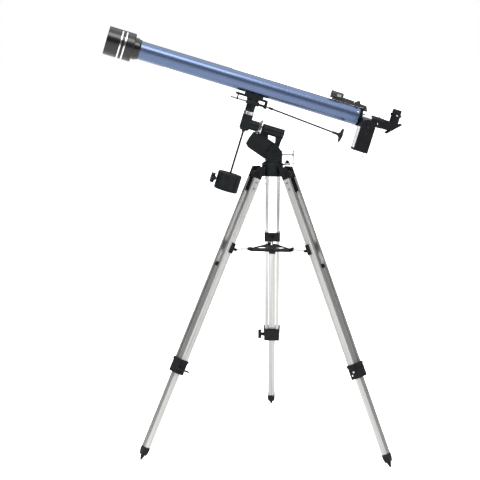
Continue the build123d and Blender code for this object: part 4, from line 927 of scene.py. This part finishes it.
def trayScrews():
    # thumbscrews that hold the struts in the tray's clips; out and across are in metres
    for leg in legs:
        radial = Vector((leg.hinge.x, leg.hinge.y, 0)).normalized()
        height = Vector((0, 0, placeOf(leg.name + "_strut_fold").z))
        spot = radial * trayValues["out"] + height + leg.across * trayValues["across"]
        thumbScrew(leg.name + "_tray_screw", spot, leg.across, trayValues, finishes["mouldBlack"], "tray")


trayScrews()
print("tray trim done")

# floor, light and camera
stageValues = {
    "floorSize": 60.0, "floorDrop": 0.0005, "floorColours": ((0.93, 0.93, 0.93), (0.94, 0.94, 0.94)),
    "floorGlow": 0.95, "floorBounce": 0.22,
}


def makeFloor():
    # the camera sees a bright floor, and the object is lit by a dimmer one
    work = bmesh.new()
    for corner in boxOutline(stageValues["floorSize"], stageValues["floorSize"]):
        work.verts.new((*corner, -stageValues["floorDrop"]))
    work.faces.new(work.verts)
    mesh = bpy.data.meshes.new("floor")
    work.to_mesh(mesh)
    work.free()
    floor = bpy.data.objects.new("floor", mesh)
    bpy.context.scene.collection.objects.link(floor)
    material, tree, shader = startMaterial("paleFloor")
    tone = mixColours(tree, noiseAt(tree, objectPoint(tree), 3.0), *stageValues["floorColours"])
    tree.links.new(tone, shader.inputs["Base Color"])
    tree.links.new(tone, shader.inputs["Emission Color"])
    seen = tree.nodes.new("ShaderNodeLightPath").outputs["Is Camera Ray"]
    glow = spread(tree, seen, stageValues["floorBounce"], stageValues["floorGlow"], 0.0, 1.0)
    tree.links.new(glow, shader.inputs["Emission Strength"])
    shader.inputs["Roughness"].default_value = 0.9
    shader.inputs["Specular IOR Level"].default_value = 0.1
    mesh.materials.append(material)


skyValues = {
    "bottom": (0.0, (0.20, 0.205, 0.22, 1)), "middle": (0.42, (0.10, 0.105, 0.115, 1)),
    "top": (0.80, (1.7, 1.7, 1.7, 1)), "seen": (1.0, 1.0, 1.0, 1.0),
}


def makeWorld():
    # bright ceiling, darker at eye level, and plain white behind the object
    world = bpy.data.worlds.new("studio")
    bpy.context.scene.world = world
    world.use_nodes = True
    tree = world.node_tree
    tree.nodes.clear()
    out = tree.nodes.new("ShaderNodeOutputWorld")
    spot = tree.nodes.new("ShaderNodeTexCoord")
    split = tree.nodes.new("ShaderNodeSeparateXYZ")
    tree.links.new(spot.outputs["Generated"], split.inputs[0])
    ramp = tree.nodes.new("ShaderNodeValToRGB")
    stops = ramp.color_ramp.elements
    stops[0].position, stops[0].color = skyValues["bottom"]
    stops[1].position, stops[1].color = skyValues["top"]
    stops.new(skyValues["middle"][0]).color = skyValues["middle"][1]
    tree.links.new(split.outputs["Z"], ramp.inputs["Fac"])
    room = tree.nodes.new("ShaderNodeBackground")
    tree.links.new(ramp.outputs["Color"], room.inputs["Color"])
    seen = tree.nodes.new("ShaderNodeBackground")
    seen.inputs["Color"].default_value = skyValues["seen"]
    path = tree.nodes.new("ShaderNodeLightPath")
    mix = tree.nodes.new("ShaderNodeMixShader")
    tree.links.new(path.outputs["Is Camera Ray"], mix.inputs["Fac"])
    tree.links.new(room.outputs[0], mix.inputs[1])
    tree.links.new(seen.outputs[0], mix.inputs[2])
    tree.links.new(mix.outputs[0], out.inputs["Surface"])


lamps = {
    "overhead": {"place": (-0.6, -1.6, 4.2), "size": (4.0, 1.6), "power": 120.0},
    "left": {"place": (-3.6, -2.2, 2.2), "size": (1.6, 2.4), "power": 16.0},
    "right": {"place": (3.6, -2.4, 1.8), "size": (1.6, 2.4), "power": 12.0},
}
aim = Vector((0.0, 0.0, 0.9))


def makeLamps():
    for name, lamp in lamps.items():
        light = bpy.data.lights.new(name, "AREA")
        light.shape = "RECTANGLE"
        light.size, light.size_y = lamp["size"]
        light.energy = lamp["power"]
        holder = bpy.data.objects.new(name, light)
        bpy.context.scene.collection.objects.link(holder)
        holder.location = lamp["place"]
        holder.rotation_euler = (aim - holder.location).to_track_quat("-Z", "Y").to_euler()


# angles in degrees, distance and height in metres, lens and sensor in millimetres
cameraValues = {
    "distance": 4.7187, "height": 1.4989, "azimuth": -7.22, "turn": -5.93, "pitch": 9.45, "roll": 0.85,
    "lens": 105.0, "sensor": 36.0,
}


def makeCamera():
    degrees = (cameraValues[key] for key in ("azimuth", "turn", "pitch", "roll"))
    azimuth, turn, pitch, roll = (math.radians(value) for value in degrees)
    distance = cameraValues["distance"]
    place = Vector((distance * math.sin(azimuth), -distance * math.cos(azimuth), cameraValues["height"]))
    look = Vector((-math.sin(turn) * math.cos(pitch), math.cos(turn) * math.cos(pitch), -math.sin(pitch)))
    right = look.cross(Vector((0, 0, 1))).normalized()
    up = right.cross(look)
    tiltedRight = right * math.cos(roll) + up * math.sin(roll)
    tiltedUp = up * math.cos(roll) - right * math.sin(roll)
    data = bpy.data.cameras.new("camera")
    data.lens = cameraValues["lens"]
    data.sensor_width = cameraValues["sensor"]
    camera = bpy.data.objects.new("camera", data)
    bpy.context.scene.collection.objects.link(camera)
    matrix = Matrix((tiltedRight, tiltedUp, -look)).transposed().to_4x4()
    matrix.translation = place
    camera.matrix_world = matrix
    bpy.context.scene.camera = camera


makeFloor()
makeWorld()
makeLamps()
makeCamera()
bpy.context.scene.view_settings.view_transform = "Standard"
print("stage ready")
